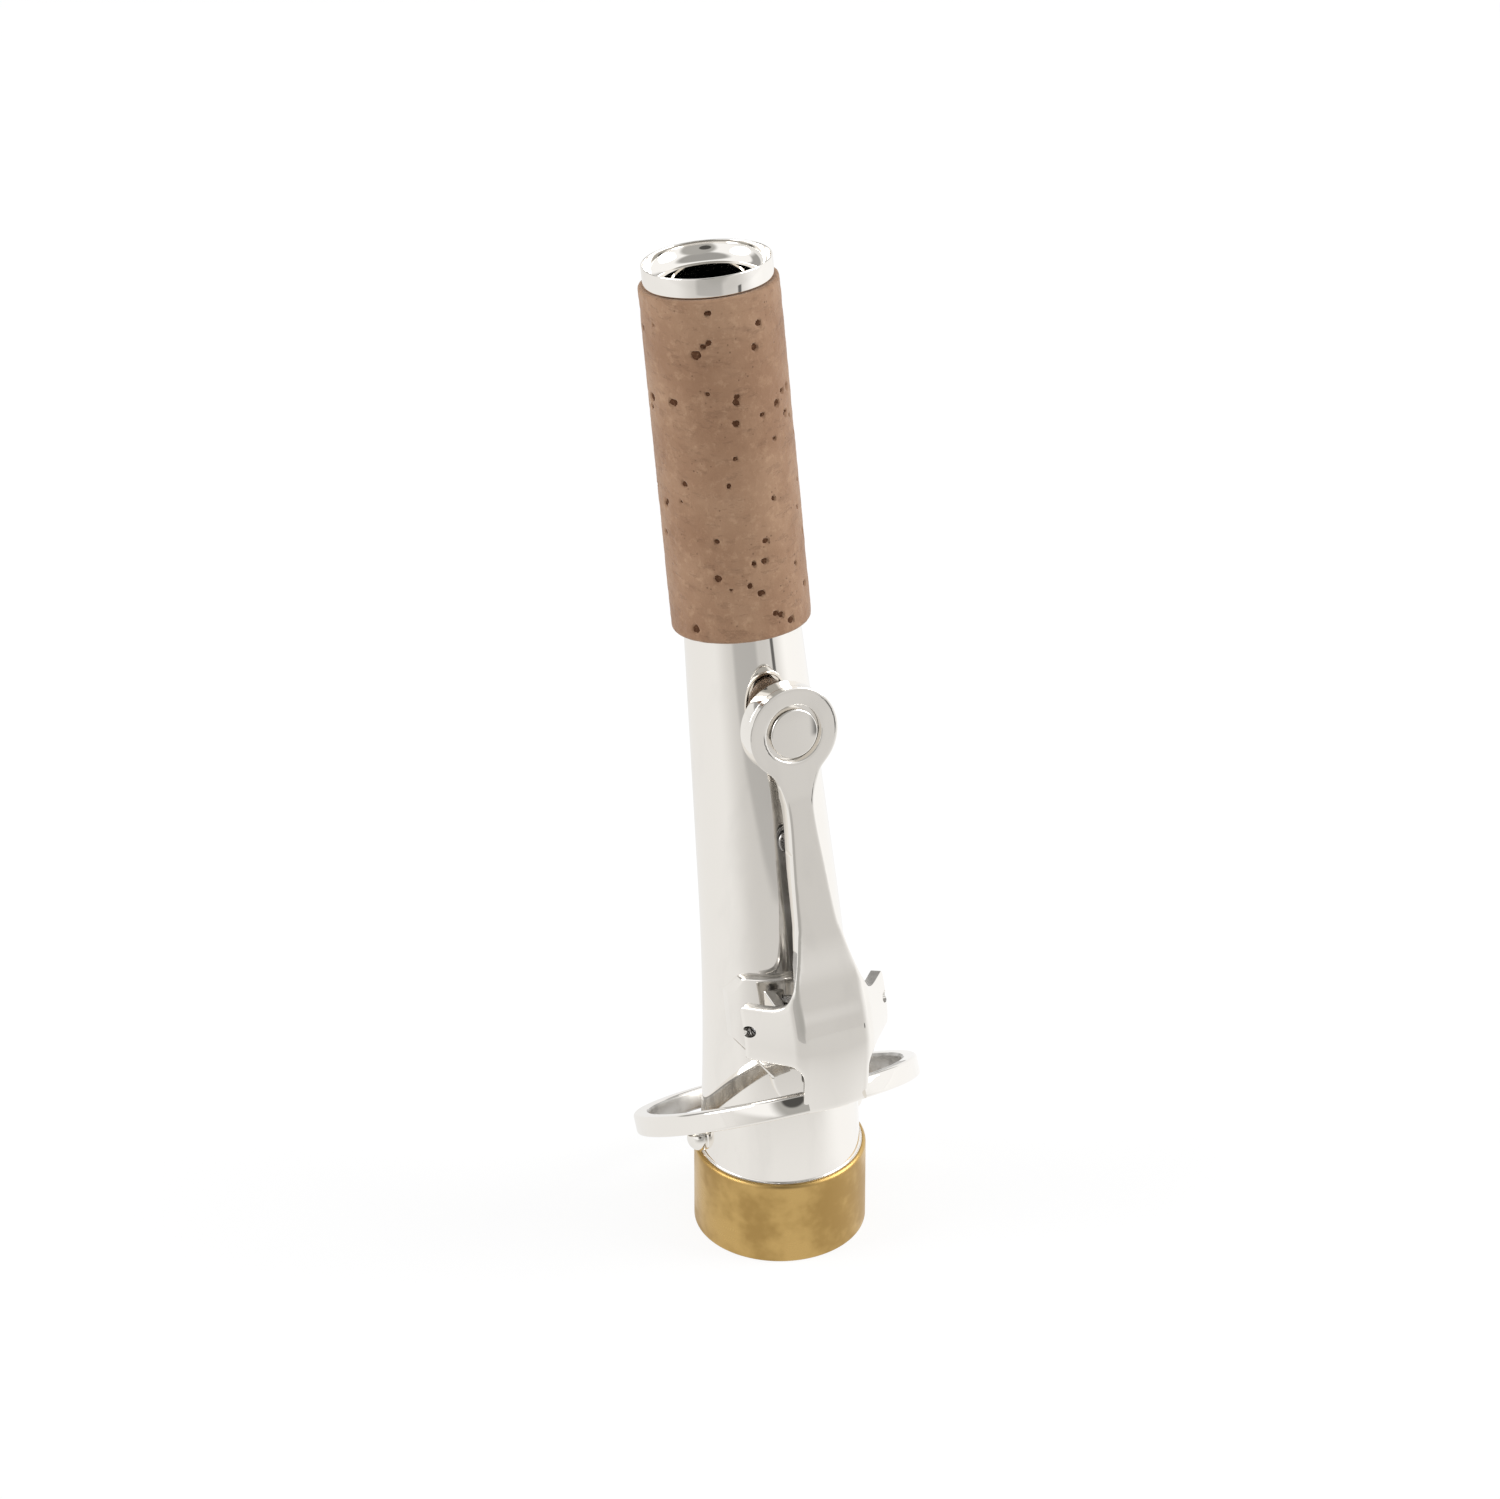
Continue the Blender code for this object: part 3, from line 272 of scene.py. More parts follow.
class HingeSizes(PropertyGroup):
    """Sizes of the hinge, its saddle and the spring."""

    hinge: length("Hinge station", "Station of the hinge", 29.3)
    pivot_height: length("Pivot height", "Height of the hinge's axis over the tube", 2.73)
    rod_radius: length("Rod radius", "Radius of the hinge rod", 0.85)
    rod_half: length("Rod half length", "Half length of the hinge rod", 7.25)
    hole_radius: length("Pivot hole radius", "Radius of the ears' holes round the rod", 1.0)
    pin_radius: length("Pin radius", "Radius of the rod's ends in the lugs", 0.45)
    pin_length: length("Pin length", "Length of the rod's thin ends", 2.4)
    pin_edge: length("Pin edge", "Rounding of the rod's thin ends", 0.1)
    rod_edge: length("Rod edge", "Rounding of the rod's shoulders", 0.15)
    rod_slot: length("Rod slot", "Width of the slots in the rod's ends", 0.22)
    rod_slot_depth: length("Rod slot depth", "Depth of the slots in the rod's ends", 0.25)
    pin_hole: length("Pin hole radius", "Radius of the holes in the lugs", 0.62)
    flat_width: length("Flat half width", "Half width of the flat shield between the bends", 3.05)
    slope: angle("Lug slope", "How far a lug bends back from the shield", 50.0)
    corner: length("Bend radius", "Outer radius where a lug bends back", 1.9)
    seam: length("Seam", "Distance of the brazed seam from the bend", 0.3)
    wall: length("Lug wall", "Thickness of the lugs", 1.25)
    lug_end: length("Lug end", "Distance of a lug's end from its hole", 0.65)
    lug_top: length("Lug top", "Height of a lug's upper edge over the pivot", 2.35)
    lug_bottom: length("Lug bottom", "Depth of a lug's lower edge under the pivot", 3.0)
    lug_corner: length("Lug corner", "Rounding of a lug's corners", 0.5)
    flare: FloatProperty(name="Flare", description="How sharply the arm flares to the lugs", default=6.0)
    arch_radius: length("Arch radius", "Radius between a lug and the foot", 1.7)
    plate_edge: length("Plate edge", "Rounding of the saddle's and its ears' edges", 0.2)
    saddle_thickness: length("Saddle thickness", "Thickness of the saddle plate", 0.55)
    saddle_width: length("Saddle half width", "Half width of the saddle plate", 7.15)
    saddle_top: length("Saddle top", "Height of the saddle plate over the pivot", 3.5)
    saddle_cut: length("Saddle cut", "Width of the saddle's cut upper corners", 1.1)
    saddle_corner: length("Saddle corner", "Rounding of the saddle's upper corners", 0.5)
    saddle_side: length("Saddle side", "Height of the saddle's straight sides", 1.6)
    saddle_low: length("Saddle low", "Depth under the pivot where the saddle narrows", 3.2)
    tongue_width: length("Tongue half width", "Half width of the saddle's tongue", 4.2)
    tongue_end: length("Tongue end", "Depth of the tongue's end under the pivot", 11.3)
    ear_outer: length("Ear outer face", "Distance of an ear's outer face from the middle", 4.4)
    ear_thickness: length("Ear thickness", "Thickness of an ear", 1.2)
    ear_radius: length("Ear radius", "Radius of an ear round the rod", 1.5)
    ear_foot: length("Ear foot", "Half length of an ear's foot", 2.9)
    ear_root: FloatProperty(
        name="Ear root", description="Share of the tube's radius that an ear starts from", default=0.72
    )
    spring_end: length("Spring end", "Station of the spring's upper end", 47.7)
    spring_tip: length("Spring tip", "Station of the spring's lower end", 21.0)
    spring_width: length("Spring half width", "Half width of the spring", 1.3)
    spring_corner: length("Spring corner", "Rounding of the corners of the spring's tip", 0.5)
    spring_edge: length("Spring edge", "Rounding of the spring's edges", 0.08)
    spring_thickness: length("Spring thickness", "Thickness of the spring", 0.25)
    screw_inset: length("Screw inset", "Distance of the screw from the spring's end", 1.6)
    screw_radius: length("Screw radius", "Radius of the screw's shank", 0.5)
    screw_head: length("Screw head radius", "Radius of the screw's head", 1.05)
    screw_height: length("Screw head height", "Height of the screw's head", 0.5)
    screw_end_edge: length("Screw end edge", "Rounding of the screw's end", 0.1)
    screw_seat_edge: length("Screw seat edge", "Rounding of the edge under the screw's head", 0.08)
    screw_head_edge: length("Screw head edge", "Rounding of the screw's head", 0.3)
    screw_slot: length("Screw slot", "Width of the slot in the screw's head", 0.25)
    screw_slot_depth: length("Screw slot depth", "Depth of the slot in the screw's head", 0.2)
    screw_depth: length("Screw depth", "How far the screw goes into the arm", 0.9)


class FinishColours(PropertyGroup):
    """Colours of the finishes, and of the painted shade on silver, in linear light."""

    silver: colour("Silver", "Polished silver plate", (0.94, 0.91, 0.865))
    silver_dull: colour("Dull silver", "Silver plate that has started to tarnish", (0.80, 0.775, 0.74))
    # Inside silver and inside tarnish are painted shade: silver plate darkened on inner sides and rims, which are
    # also left unpolished.
    silver_inside: colour("Inside silver", "Unpolished silver plate on inner sides and rims", (0.52, 0.505, 0.48))
    silver_inside_dull: colour("Inside tarnish", "Tarnish on inner sides and rims", (0.36, 0.345, 0.325))
    brass: colour("Brass", "Clean brass", (0.61, 0.405, 0.15))
    brass_dull: colour("Dull brass", "Tarnished brass", (0.44, 0.28, 0.095))
    cork: colour("Cork", "Cork as it is over most of the sleeve", (0.265, 0.148, 0.084))
    cork_light: colour("Light cork", "Pale flecks in the cork", (0.41, 0.262, 0.163))
    cork_dark: colour("Dark cork", "Veins and pores in the cork", (0.085, 0.036, 0.017))
    steel: colour("Steel", "Hinge rod and screw", (0.42, 0.42, 0.43))
    spring: colour("Spring steel", "Blued spring", (0.26, 0.255, 0.25))
    skin: colour("Pad skin", "Skin of the octave pad", (0.13, 0.09, 0.06))


class StudioSettings(PropertyGroup):
    """Light and backdrop of the stage, and the camera's place."""

    white: colour("Backdrop white", "Colour of the floor and backdrop", (1.0, 1.0, 1.0))
    pale: colour("Pale side", "What polished metal sees at the left and behind", (0.85, 0.845, 0.835))
    room: colour("Grey front", "What polished metal sees in front", (0.62, 0.61, 0.595))
    dark: colour("Dark places", "Places that draw dark lines on polished metal", (0.08, 0.078, 0.075))
    ceiling: colour("Ceiling", "What polished metal sees overhead and high behind", (0.36, 0.355, 0.345))
    shadow: colour("Shadow side", "What polished metal sees round the camera", (0.42, 0.415, 0.40))
    shadow_side: FloatVectorProperty(
        name="Shadow side direction",
        description="Direction of the shadowed side of the room, round the camera",
        default=(-0.142, -0.807, 0.573),
        subtype="DIRECTION",
    )
    view_side: FloatVectorProperty(
        name="View side direction",
        description="Direction of the dark camera itself",
        default=(-0.358, -0.767, 0.533),
        subtype="DIRECTION",
    )
    gap_azimuth: angle("Gap azimuth", "Direction of the dark gap beyond the table, by the camera", -22.0)
    flag_azimuth: angle("Flag azimuth", "Direction of the narrow dark flag at the front right", 31.0)
    left_azimuth: angle("Left lamp azimuth", "Direction of the left lamp from the front", -105.0)
    left_power: power("Left lamp power", "Power of the left lamp", 4.2)
    right_azimuth: angle("Right lamp azimuth", "Direction of the right lamp from the front", 65.0)
    right_power: power("Right lamp power", "Power of the right lamp", 5.4)
    lamp_size: length("Lamp size", "Diameter of a lamp", 600.0)
    lamp_distance: length("Lamp distance", "Distance of a lamp from the middle of the floor", 750.0)
    lamp_height: length("Lamp height", "Height of a lamp over the floor", 500.0)
    ambient: FloatProperty(name="Ambient", description="Level of the light from all round", default=0.56)
    focal_length: FloatProperty(
        name="Focal length", description="Focal length in millimetres", default=180.5, unit="CAMERA"
    )
    view_azimuth: angle("View azimuth", "Turn of the camera about the vertical", -25.0)
    view_elevation: angle("View elevation", "How far the camera looks down", 32.18)
    view_distance: length("View distance", "Distance of the camera from its target", 790.0)
    view_target: FloatVectorProperty(
        name="View target",
        description="Point in the middle of the picture",
        default=(0.0068, 0.0220, 0.0433),
        subtype="XYZ",
        unit="LENGTH",
    )


class Shape:
    """Plain copy of the sizes, with the lines and frames that follow from them."""

    def __init__(self, scene):
        self.neck = self.copied(scene.neck_sizes)
        self.key = self.copied(scene.octave_key_sizes)
        self.hinge = self.copied(scene.hinge_sizes)
        key = self.key
        eye_distance = self.tube_radius(key.eye) + key.eye_height
        knots = [
            (key.foot, self.tube_radius(key.foot) + key.foot_height),
            (key.crown, self.tube_radius(key.crown) + key.crown_height),
            (key.shield, self.tube_radius(key.shield) + key.shield_height),
            (key.root, self.tube_radius(key.root) + key.root_height),
            (key.neck, self.tube_radius(key.neck) + key.neck_height),
            (key.fillet, eye_distance),
            (key.eye + key.cup_radius, eye_distance),
        ]
        self.face_line = np.array(spline(knots, 8 * CURVE_STEPS)).T
        self.spring_line = self.spring_heights()

    @staticmethod
    def copied(group):
        """The values of a property group as plain numbers."""
        values = type("Values", (), {})()
        for name in group.__annotations__:
            setattr(values, name, getattr(group, name))
        return values

    def axis_angle(self, station):
        """Lean of the neck's axis at a station."""
        share = (station - self.neck.bend_start) / self.neck.bend_run
        return self.neck.bend_angle * min(max(share, 0.0), 1.0)

    def axis_frame(self, station):
        """Frame on the neck's axis whose Z runs up the neck."""
        lean = self.axis_angle(station)
        bend_radius = self.neck.bend_run / self.neck.bend_angle
        below = min(station, self.neck.bend_start)
        beyond = max(station - self.neck.bend_start - self.neck.bend_run, 0.0)
        y = bend_radius * (1 - cos(lean)) + beyond * sin(lean)
        z = below + bend_radius * sin(lean) + beyond * cos(lean)
        return Matrix.Translation((0, y, z)) @ Matrix.Rotation(-lean, 4, "X")

    def front_frame(self, station):
        """Frame on the axis whose Y runs up the neck and whose Z points out of its front."""
        return self.axis_frame(station) @ Matrix.Rotation(pi / 2, 4, "X")

    def tube_radius(self, station):
        """Outer radius of the conical tube."""
        neck = self.neck
        tip = neck.cork_start + neck.cork_length + neck.joint_gap
        stations = (neck.tenon_length, neck.cork_start, tip)
        return float(np.interp(station, stations, (neck.tube_lower, neck.tube_cork, neck.tube_tip)))

    def front_point(self, station, distance, across=0.0):
        """Point in front of the axis at a distance from it."""
        return self.axis_frame(station) @ Vector((across, -distance, 0))

    def face(self, station):
        """Distance of the arm's face from the axis."""
        return float(np.interp(station, *self.face_line))

    def arm_thickness(self, station):
        """Thickness of the arm: thin at the eye, a bar, then the shield and foot."""
        key = self.key
        under_cup = key.eye - key.cup_radius - self.neck.joint_gap
        stations = (key.crown, key.root, under_cup - key.arm_thickness, under_cup)
        values = (key.foot_thickness, key.arm_thickness, key.arm_thickness, key.eye_thickness)
        return float(np.interp(station, stations, values))

    def sag(self, across, station):
        """How far the foot falls back from the middle, being rounded like the ring at its end."""
        rounding = float(np.interp(station, (self.key.foot, self.key.crown), (1.0, 0.0)))
        return rounding * across * across / (2 * self.key.ring_outer)

    def key_point(self, across, station, share):
        """Point of the key's sheet, which is flat in the middle and bends back in the two lugs."""
        key, hinge = self.key, self.hinge
        flat = hinge.flat_width if station < key.neck else key.cup_radius
        level = min(abs(across), flat)
        run = abs(across) - level
        turn = min(run / hinge.corner, hinge.slope)
        leg = max(run - hinge.corner * hinge.slope, 0.0)
        middle = self.arm_thickness(station)
        side = min(middle, hinge.wall)
        thickness = float(np.interp(level, (flat - hinge.wall, flat - hinge.seam), (middle, side)))
        radius = hinge.corner - (1 - share) * thickness
        x = level + radius * sin(turn) + leg * cos(turn)
        drop = hinge.corner - radius * cos(turn) + leg * sin(turn)
        distance = self.face(station) - self.sag(level, station) - drop
        return self.front_point(station, distance, x if across >= 0 else -x)

    def lug_hole(self):
        """Distance of a lug's hole from the middle of the key's flat pattern."""
        hinge = self.hinge
        face = self.face(hinge.hinge) - self.sag(hinge.flat_width, hinge.hinge)
        drop = face - self.tube_radius(hinge.hinge) - hinge.pivot_height
        leg = (drop - hinge.corner * (1 - cos(hinge.slope))) / sin(hinge.slope)
        return hinge.flat_width + hinge.corner * hinge.slope + leg

    def key_pattern(self, lugs):
        """Flat pattern of the key's sheet: either its two lugs or all the rest of it."""
        key, hinge = self.key, self.hinge
        eye = arc((0, key.eye), key.cup_radius, pi / 2, -key.eye_turn, 4 * CURVE_STEPS)
        sides = [
            eye[-1],
            (key.fillet_width, key.fillet),
            ((key.fillet_width + 5 * key.neck_width) / 6, (key.fillet + key.neck) / 2),
            (key.neck_width, key.neck),
            ((key.neck_width + key.root_width) / 2, (key.neck + key.root) / 2),
        ]
        end = self.lug_hole() + hinge.lug_end
        top, bottom = hinge.hinge + hinge.lug_top, hinge.hinge - hinge.lug_bottom
        for share in np.linspace(0, 1, FLARE_POINTS) ** FLARE_SPREAD:
            out = key.root_width + (end - key.root_width) * share
            sides.append((float(out), float(top + (key.root - top) * (1 - share) ** hinge.flare)))
        side = spline(sides, CURVE_STEPS)[: -CURVE_STEPS]
        lower = rounded([
            (*side[-1], 0),
            (end, top, hinge.lug_corner),
            (end, bottom, hinge.lug_corner),
            (key.foot_width, bottom, hinge.arch_radius),
            (key.foot_width, key.foot, 0),
            (0, key.foot, 0),
        ], CURVE_STEPS, False)
        outline = mirrored(eye[:-1] + side + lower[1:])
        hole = arc((0, key.eye), key.boss_radius + key.boss_groove, 0, 2 * pi, 8 * CURVE_STEPS)[:-1]
        seam = hinge.flat_width - hinge.seam
        bent_end = hinge.flat_width + hinge.corner * hinge.slope
        bend = np.linspace(hinge.flat_width, bent_end, BEND_STRIPS)
        shield = np.linspace(-seam, seam, SHIELD_STRIPS)
        along = np.arange(key.foot + STRIP, key.eye - key.cup_radius, STRIP)
        sheet = plate(outline, [hole], key.arm_edge, ARM_ROLL, [*shield, *bend, *(-bend)], along)
        gone = []
        for face in sheet.faces:
            middle = face.calc_center_median()
            if (abs(middle.x) > seam and middle.y < key.neck) != lugs:
                gone.append(face)
        bmesh.ops.delete(sheet, geom=gone, context="FACES")
        bmesh.ops.holes_fill(sheet, edges=[edge for edge in sheet.edges if edge.is_boundary])
        return bent(sheet, self.key_point)

    def pivot(self):
        """Middle of the hinge."""
        hinge = self.hinge
        return self.front_point(hinge.hinge, self.tube_radius(hinge.hinge) + hinge.pivot_height)

    def hinge_frame(self):
        """Frame at the hinge whose Z runs along its axis, world +X."""
        return Matrix.Translation(self.pivot()) @ Matrix.Rotation(pi / 2, 4, "Y")

    def saddle_point(self, across, along, share):
        """Point of the saddle plate, wrapped round the tube, from its front view."""
        station = self.hinge.hinge + along
        gap = self.neck.joint_gap * share
        radius = self.tube_radius(station) + gap + share * self.hinge.saddle_thickness
        return self.front_point(station, sqrt(radius * radius - across * across), across)

    def spring_heights(self):
        """Stations and heights of the spring's outer face over the tube."""
        hinge, gap = self.hinge, self.neck.joint_gap
        low_end = hinge.spring_end - 2 * hinge.screw_inset
        seat = 2 * gap + hinge.saddle_thickness + hinge.spring_thickness
        line = [
            (hinge.spring_tip, seat),
            (hinge.hinge, hinge.pivot_height - hinge.rod_radius - gap),
            (low_end, self.arm_underside(low_end) - gap),
            (hinge.spring_end, self.arm_underside(hinge.spring_end) - gap),
        ]
        return np.array(spline(line, CURVE_STEPS)).T

    def arm_underside(self, station):
        """Height of the arm's inner face over the tube."""
        return self.face(station) - self.arm_thickness(station) - self.tube_radius(station)

    def spring_point(self, across, station, share):
        """Point of the spring at a share of its thickness."""
        height = float(np.interp(station, *self.spring_line))
        distance = self.tube_radius(station) + height - (1 - share) * self.hinge.spring_thickness
        return self.front_point(station, distance, across)


def spline(points, steps):
    """Smooth Catmull-Rom curve through the points."""
    nodes = [np.array(point) for point in (points[0], *points, points[-1])]
    curve = []
    for before, start, end, after in zip(nodes, nodes[1:], nodes[2:], nodes[3:]):
        for step in range(steps):
            t = step / steps
            bend = (2 * before - 5 * start + 4 * end - after) * t * t
            twist = (3 * start - before - 3 * end + after) * t**3
            curve.append(tuple((2 * start + (end - before) * t + bend + twist) / 2))
    return curve + [tuple(points[-1])]


def arc(centre, radius, start, end, steps):
    """Points on a circular arc between two angles."""
    turns = np.linspace(start, end, steps + 1)
    return [(centre[0] + radius * cos(turn), centre[1] + radius * sin(turn)) for turn in turns]


def rounded(corners, steps=EDGE_STEPS, closed=True):
    """Outline with an arc at each (x, y, radius) corner."""
    line = []
    count = len(corners)
    for index, (x, y, radius) in enumerate(corners):
        here = Vector((x, y))
        if radius == 0 or (not closed and index in (0, count - 1)):
            line.append((x, y))
            continue
        to_last = (Vector(corners[index - 1][:2]) - here).normalized()
        to_next = (Vector(corners[(index + 1) % count][:2]) - here).normalized()
        half = acos(max(-1.0, min(1.0, to_last.dot(to_next)))) / 2
        centre = here + (to_last + to_next).normalized() * radius / sin(half)
        first = here + to_last * radius / tan(half) - centre
        last = here + to_next * radius / tan(half) - centre
        start = atan2(first.y, first.x)
        sweep = (atan2(last.y, last.x) - start + pi) % (2 * pi) - pi
        line += arc(centre, radius, start, start + sweep, steps)
    return line


def mirrored(half):
    """Closed outline made of a half outline with x above 0 and its mirror image."""
    return half + [(-x, y) for x, y in reversed(half) if x > MERGE]


def fixed(matrix):
    """Place of a straight turned piece: a frame at each height along the matrix's Z."""
    return lambda z: matrix @ Matrix.Translation((0, 0, z))


def turned(profile, place, segments=SEGMENTS, closed=True):
    """Surface of revolution of an (r, z) profile about the line that place(z) follows."""
    shape = bmesh.new()
    turns = np.linspace(0, 2 * pi, segments, endpoint=False)
    rows = []
    for r, z in profile:
        matrix = place(z)
        rows.append([shape.verts.new(matrix @ Vector((r * cos(t), r * sin(t), 0))) for t in turns])
    for lower, upper in zip(rows, rows[1:] + rows[:1] if closed else rows[1:]):
        for k in range(segments):
            follow = (k + 1) % segments
            shape.faces.new((lower[k], lower[follow], upper[follow], upper[k]))
    bmesh.ops.remove_doubles(shape, verts=shape.verts, dist=MERGE)
    bmesh.ops.recalc_face_normals(shape, faces=shape.faces)
    return shape


def inset(loop, distance):
    """Closed loop moved to its left by a distance."""
    points = np.array(loop)
    ahead = np.roll(points, -1, axis=0) - points
    ahead /= np.linalg.norm(ahead, axis=1)[:, None]
    left = np.stack((-ahead[:, 1], ahead[:, 0]), axis=1)
    behind = np.roll(left, 1, axis=0)
    share = 1 + (left * behind).sum(axis=1)
    return points + distance * (left + behind) / share[:, None]


def anticlockwise(loop):
    """The loop, turned round if it runs clockwise."""
    x, y = np.array(loop).T
    area = np.dot(x, np.roll(y, -1)) - np.dot(y, np.roll(x, -1))
    return loop if area > 0 else loop[::-1]


def plate(outline, holes, edge, roll, across=(), along=()):
    """Flat pattern of a plate one unit thick, cut into strips so that it can bend.

    Its edges are rounded over a width edge and over a share roll of its thickness.
    """
    shape = bmesh.new()
    fills = ([], [])
    for loop, side in [(outline, 1), *((hole, -1) for hole in holes)]:
        loop = anticlockwise(loop)
        turns = np.linspace(0, pi / 2, EDGE_STEPS + 1)
        lower = [(edge * (1 - sin(turn)), roll * (1 - cos(turn))) for turn in turns]
        levels = lower + [(move, 1 - height) for move, height in reversed(lower)]
        rings = []
        for move, height in levels:
            rings.append([shape.verts.new((x, y, height)) for x, y in inset(loop, side * move)])
        for below, above in zip(rings, rings[1:]):
            for k in range(len(below)):
                follow = (k + 1) % len(below)
                shape.faces.new((below[k], below[follow], above[follow], above[k]))
        for ring, edges in ((rings[0], fills[0]), (rings[-1], fills[1])):
            for k in range(len(ring)):
                edges.append(shape.edges.get((ring[k], ring[(k + 1) % len(ring)])))
    for edges in fills:
        bmesh.ops.triangle_fill(shape, use_beauty=True, edges=edges, normal=(0, 0, 1))
    bmesh.ops.recalc_face_normals(shape, faces=shape.faces)
    for places, normal in ((across, Vector((1, 0, 0))), (along, Vector((0, 1, 0)))):
        for place in places:
            everything = [*shape.verts, *shape.edges, *shape.faces]
            bmesh.ops.bisect_plane(
                shape, geom=everything, dist=MERGE, plane_co=normal * place, plane_no=normal
            )
    return shape


def bent(shape, place):
    """Move a plate's points from its flat pattern to place(x, y, share of thickness)."""
    for vert in shape.verts:
        vert.co = place(vert.co.x, vert.co.y, vert.co.z)
    shape.normal_update()
    bmesh.ops.recalc_face_normals(shape, faces=shape.faces)
    return shape


def joined(*shapes):
    """One shape made of several."""
    whole = bmesh.new()
    for shape in shapes:
        mesh = bpy.data.meshes.new("part")
        shape.to_mesh(mesh)
        shape.free()
        whole.from_mesh(mesh)
        bpy.data.meshes.remove(mesh)
    return whole


def applied(item):
    """Replace an object's mesh by what its modifiers make of it."""
    bpy.context.view_layer.update()
    graph = bpy.context.evaluated_depsgraph_get()
    mesh = bpy.data.meshes.new_from_object(item.evaluated_get(graph))
    item.modifiers.clear()
    old = item.data
    item.data = mesh
    bpy.data.meshes.remove(old)
    mesh.name = item.name
    return item


def new_object(name, shape):
    """Object with a mesh made from a shape, in the scene."""
    mesh = bpy.data.meshes.new(name)
    shape.to_mesh(mesh)
    shape.free()
    item = bpy.data.objects.new(name, mesh)
    bpy.context.scene.collection.objects.link(item)
    return item


def cut(item, shape):
    """Cut a shape out of an object."""
    cutter = new_object("cutter", shape)
    modifier = item.modifiers.new("cut", "BOOLEAN")
    modifier.operation = "DIFFERENCE"
    modifier.object = cutter
    applied(item)
    bpy.data.objects.remove(cutter)


def add_piece(item, material, slot, body, *nodes):
    """Smooth a piece, give it its material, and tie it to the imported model."""
    item.data.materials.clear()
    item.data.materials.append(material)
    item.data.shade_smooth()
    item.data.set_sharp_from_angle(angle=radians(35))
    weighted = item.modifiers.new("normals", "WEIGHTED_NORMAL")
    weighted.mode = "FACE_AREA"
    weighted.keep_sharp = True
    applied(item)
    if body:
        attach(item, body)
    if nodes:
        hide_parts(*nodes)
    return item


def unpolish_and_paint_shade(item, centre, rims=False):
    """Leave a piece, and its rims if asked, unpolished and darkened as painted shade towards the upright line
    through a point.
    """
    item.data.materials.append(unpolished_silver())
    limit = -INWARD if rims else INWARD
    for face in item.data.polygons:
        inward = (Vector(centre) - face.center).xy.to_3d().normalized()
        if face.normal.dot(inward) > limit:
            face.material_index = 1


class Value:
    """A shader socket that ordinary arithmetic and one node method work on."""

    def __init__(self, tree, socket=None):
        self.tree = tree
        self.socket = socket

    def node(self, kind, settings=None, sockets=None, output=0):
        """Add any node with its settings and input sockets, and wrap one of its outputs."""
        made = self.tree.nodes.new(kind)
        for name, setting in (settings or {}).items():
            setattr(made, name, setting)
        for name, value in (sockets or {}).items():
            if isinstance(value, Value):
                self.tree.links.new(value.socket, made.inputs[name])
            else:
                made.inputs[name].default_value = value
        return Value(self.tree, made.outputs[output])

    def maths(self, operation, first, second):
        """One Math node."""
        return self.node("ShaderNodeMath", {"operation": operation}, {0: first, 1: second})

    def __add__(self, other):
        return self.maths("ADD", self, other)

    def __radd__(self, other):
        return self.maths("ADD", other, self)

    def __sub__(self, other):
        return self.maths("SUBTRACT", self, other)

    def __rsub__(self, other):
        return self.maths("SUBTRACT", other, self)

    def __mul__(self, other):
        return self.maths("MULTIPLY", self, other)

    def __rmul__(self, other):
        return self.maths("MULTIPLY", other, self)


def ramp(value, start, end):
    """Smooth step of a value from 0 at start to 1 at end."""
    settings = {"interpolation_type": "SMOOTHSTEP"}
    return value.node("ShaderNodeMapRange", settings, {0: value, 1: start, 2: end})


def blend(share, first, second):
    """Mix of two colours."""
    ends = [end if isinstance(end, Value) else (*end, 1.0) for end in (first, second)]
    settings = {"data_type": "RGBA"}
    return share.node("ShaderNodeMix", settings, {0: share, 6: ends[0], 7: ends[1]}, 2)


def grain(place, scale, detail=3.0, roughness=0.5):
    """Noise with so many features in a metre."""
    sockets = {"Vector": place, "Scale": scale, "Detail": detail, "Roughness": roughness}
    return place.node("ShaderNodeTexNoise", None, sockets)


def stretched(place, x, y, z):
    """Coordinates scaled along each axis."""
    return place.node("ShaderNodeMapping", None, {"Vector": place, "Scale": (x, y, z)})


def new_material(name, make):
    """Material by name, made on its first use by a function of its object coordinates."""
    known = bpy.data.materials.get(name)
    if known:
        return known
    material = bpy.data.materials.new(name)
    material.use_nodes = True
    tree = material.node_tree
    shader = tree.nodes["Principled BSDF"]
    place = Value(tree).node("ShaderNodeTexCoord", None, None, "Object")
    colours = bpy.context.scene.finish_colours
    for socket, value in make(place, colours).items():
        if isinstance(value, Value):
            tree.links.new(value.socket, shader.inputs[socket])
        else:
            shader.inputs[socket].default_value = value
    return material


def bumped(height, distance, strength=1.0):
    """Normal from a height, as deep as the distance."""
    sockets = {"Height": height, "Distance": distance, "Strength": strength}
    return height.node("ShaderNodeBump", None, sockets)


def polished_silver():
    """Polished silver plate with faint smears and a slight waviness."""

    def make(place, colours):
        smear = grain(stretched(place, 1.0, 1.0, 0.35), 260.0, 4.0)
        haze = ramp(smear, 0.52, 0.78)
        fine = grain(place, 2600.0, 2.0)
        return {
            "Base Color": blend(haze * 0.35, colours.silver, colours.silver_dull),
            "Metallic": 1.0,
            "Roughness": haze * 0.05 + fine * 0.03 + 0.02,
            "Normal": bumped(grain(place, 90.0, 1.0), 0.012 * MM),
        }

    return new_material("polished_silver", make)


def unpolished_silver():
    """Silver plate where the polishing wheel doesn't reach, darkened as painted shade."""

    def make(place, colours):
        cloud = grain(place, 420.0, 4.0)
        tarnish = ramp(cloud, 0.4, 0.7)
        return {
            # Base colour is painted shade, far darker than the polished silver, with a cloudy tarnish over it.
            "Base Color": blend(tarnish, colours.silver_inside, colours.silver_inside_dull),
            "Metallic": 1.0,
            "Roughness": tarnish * 0.12 + 0.3,
        }

    return new_material("unpolished_silver", make)


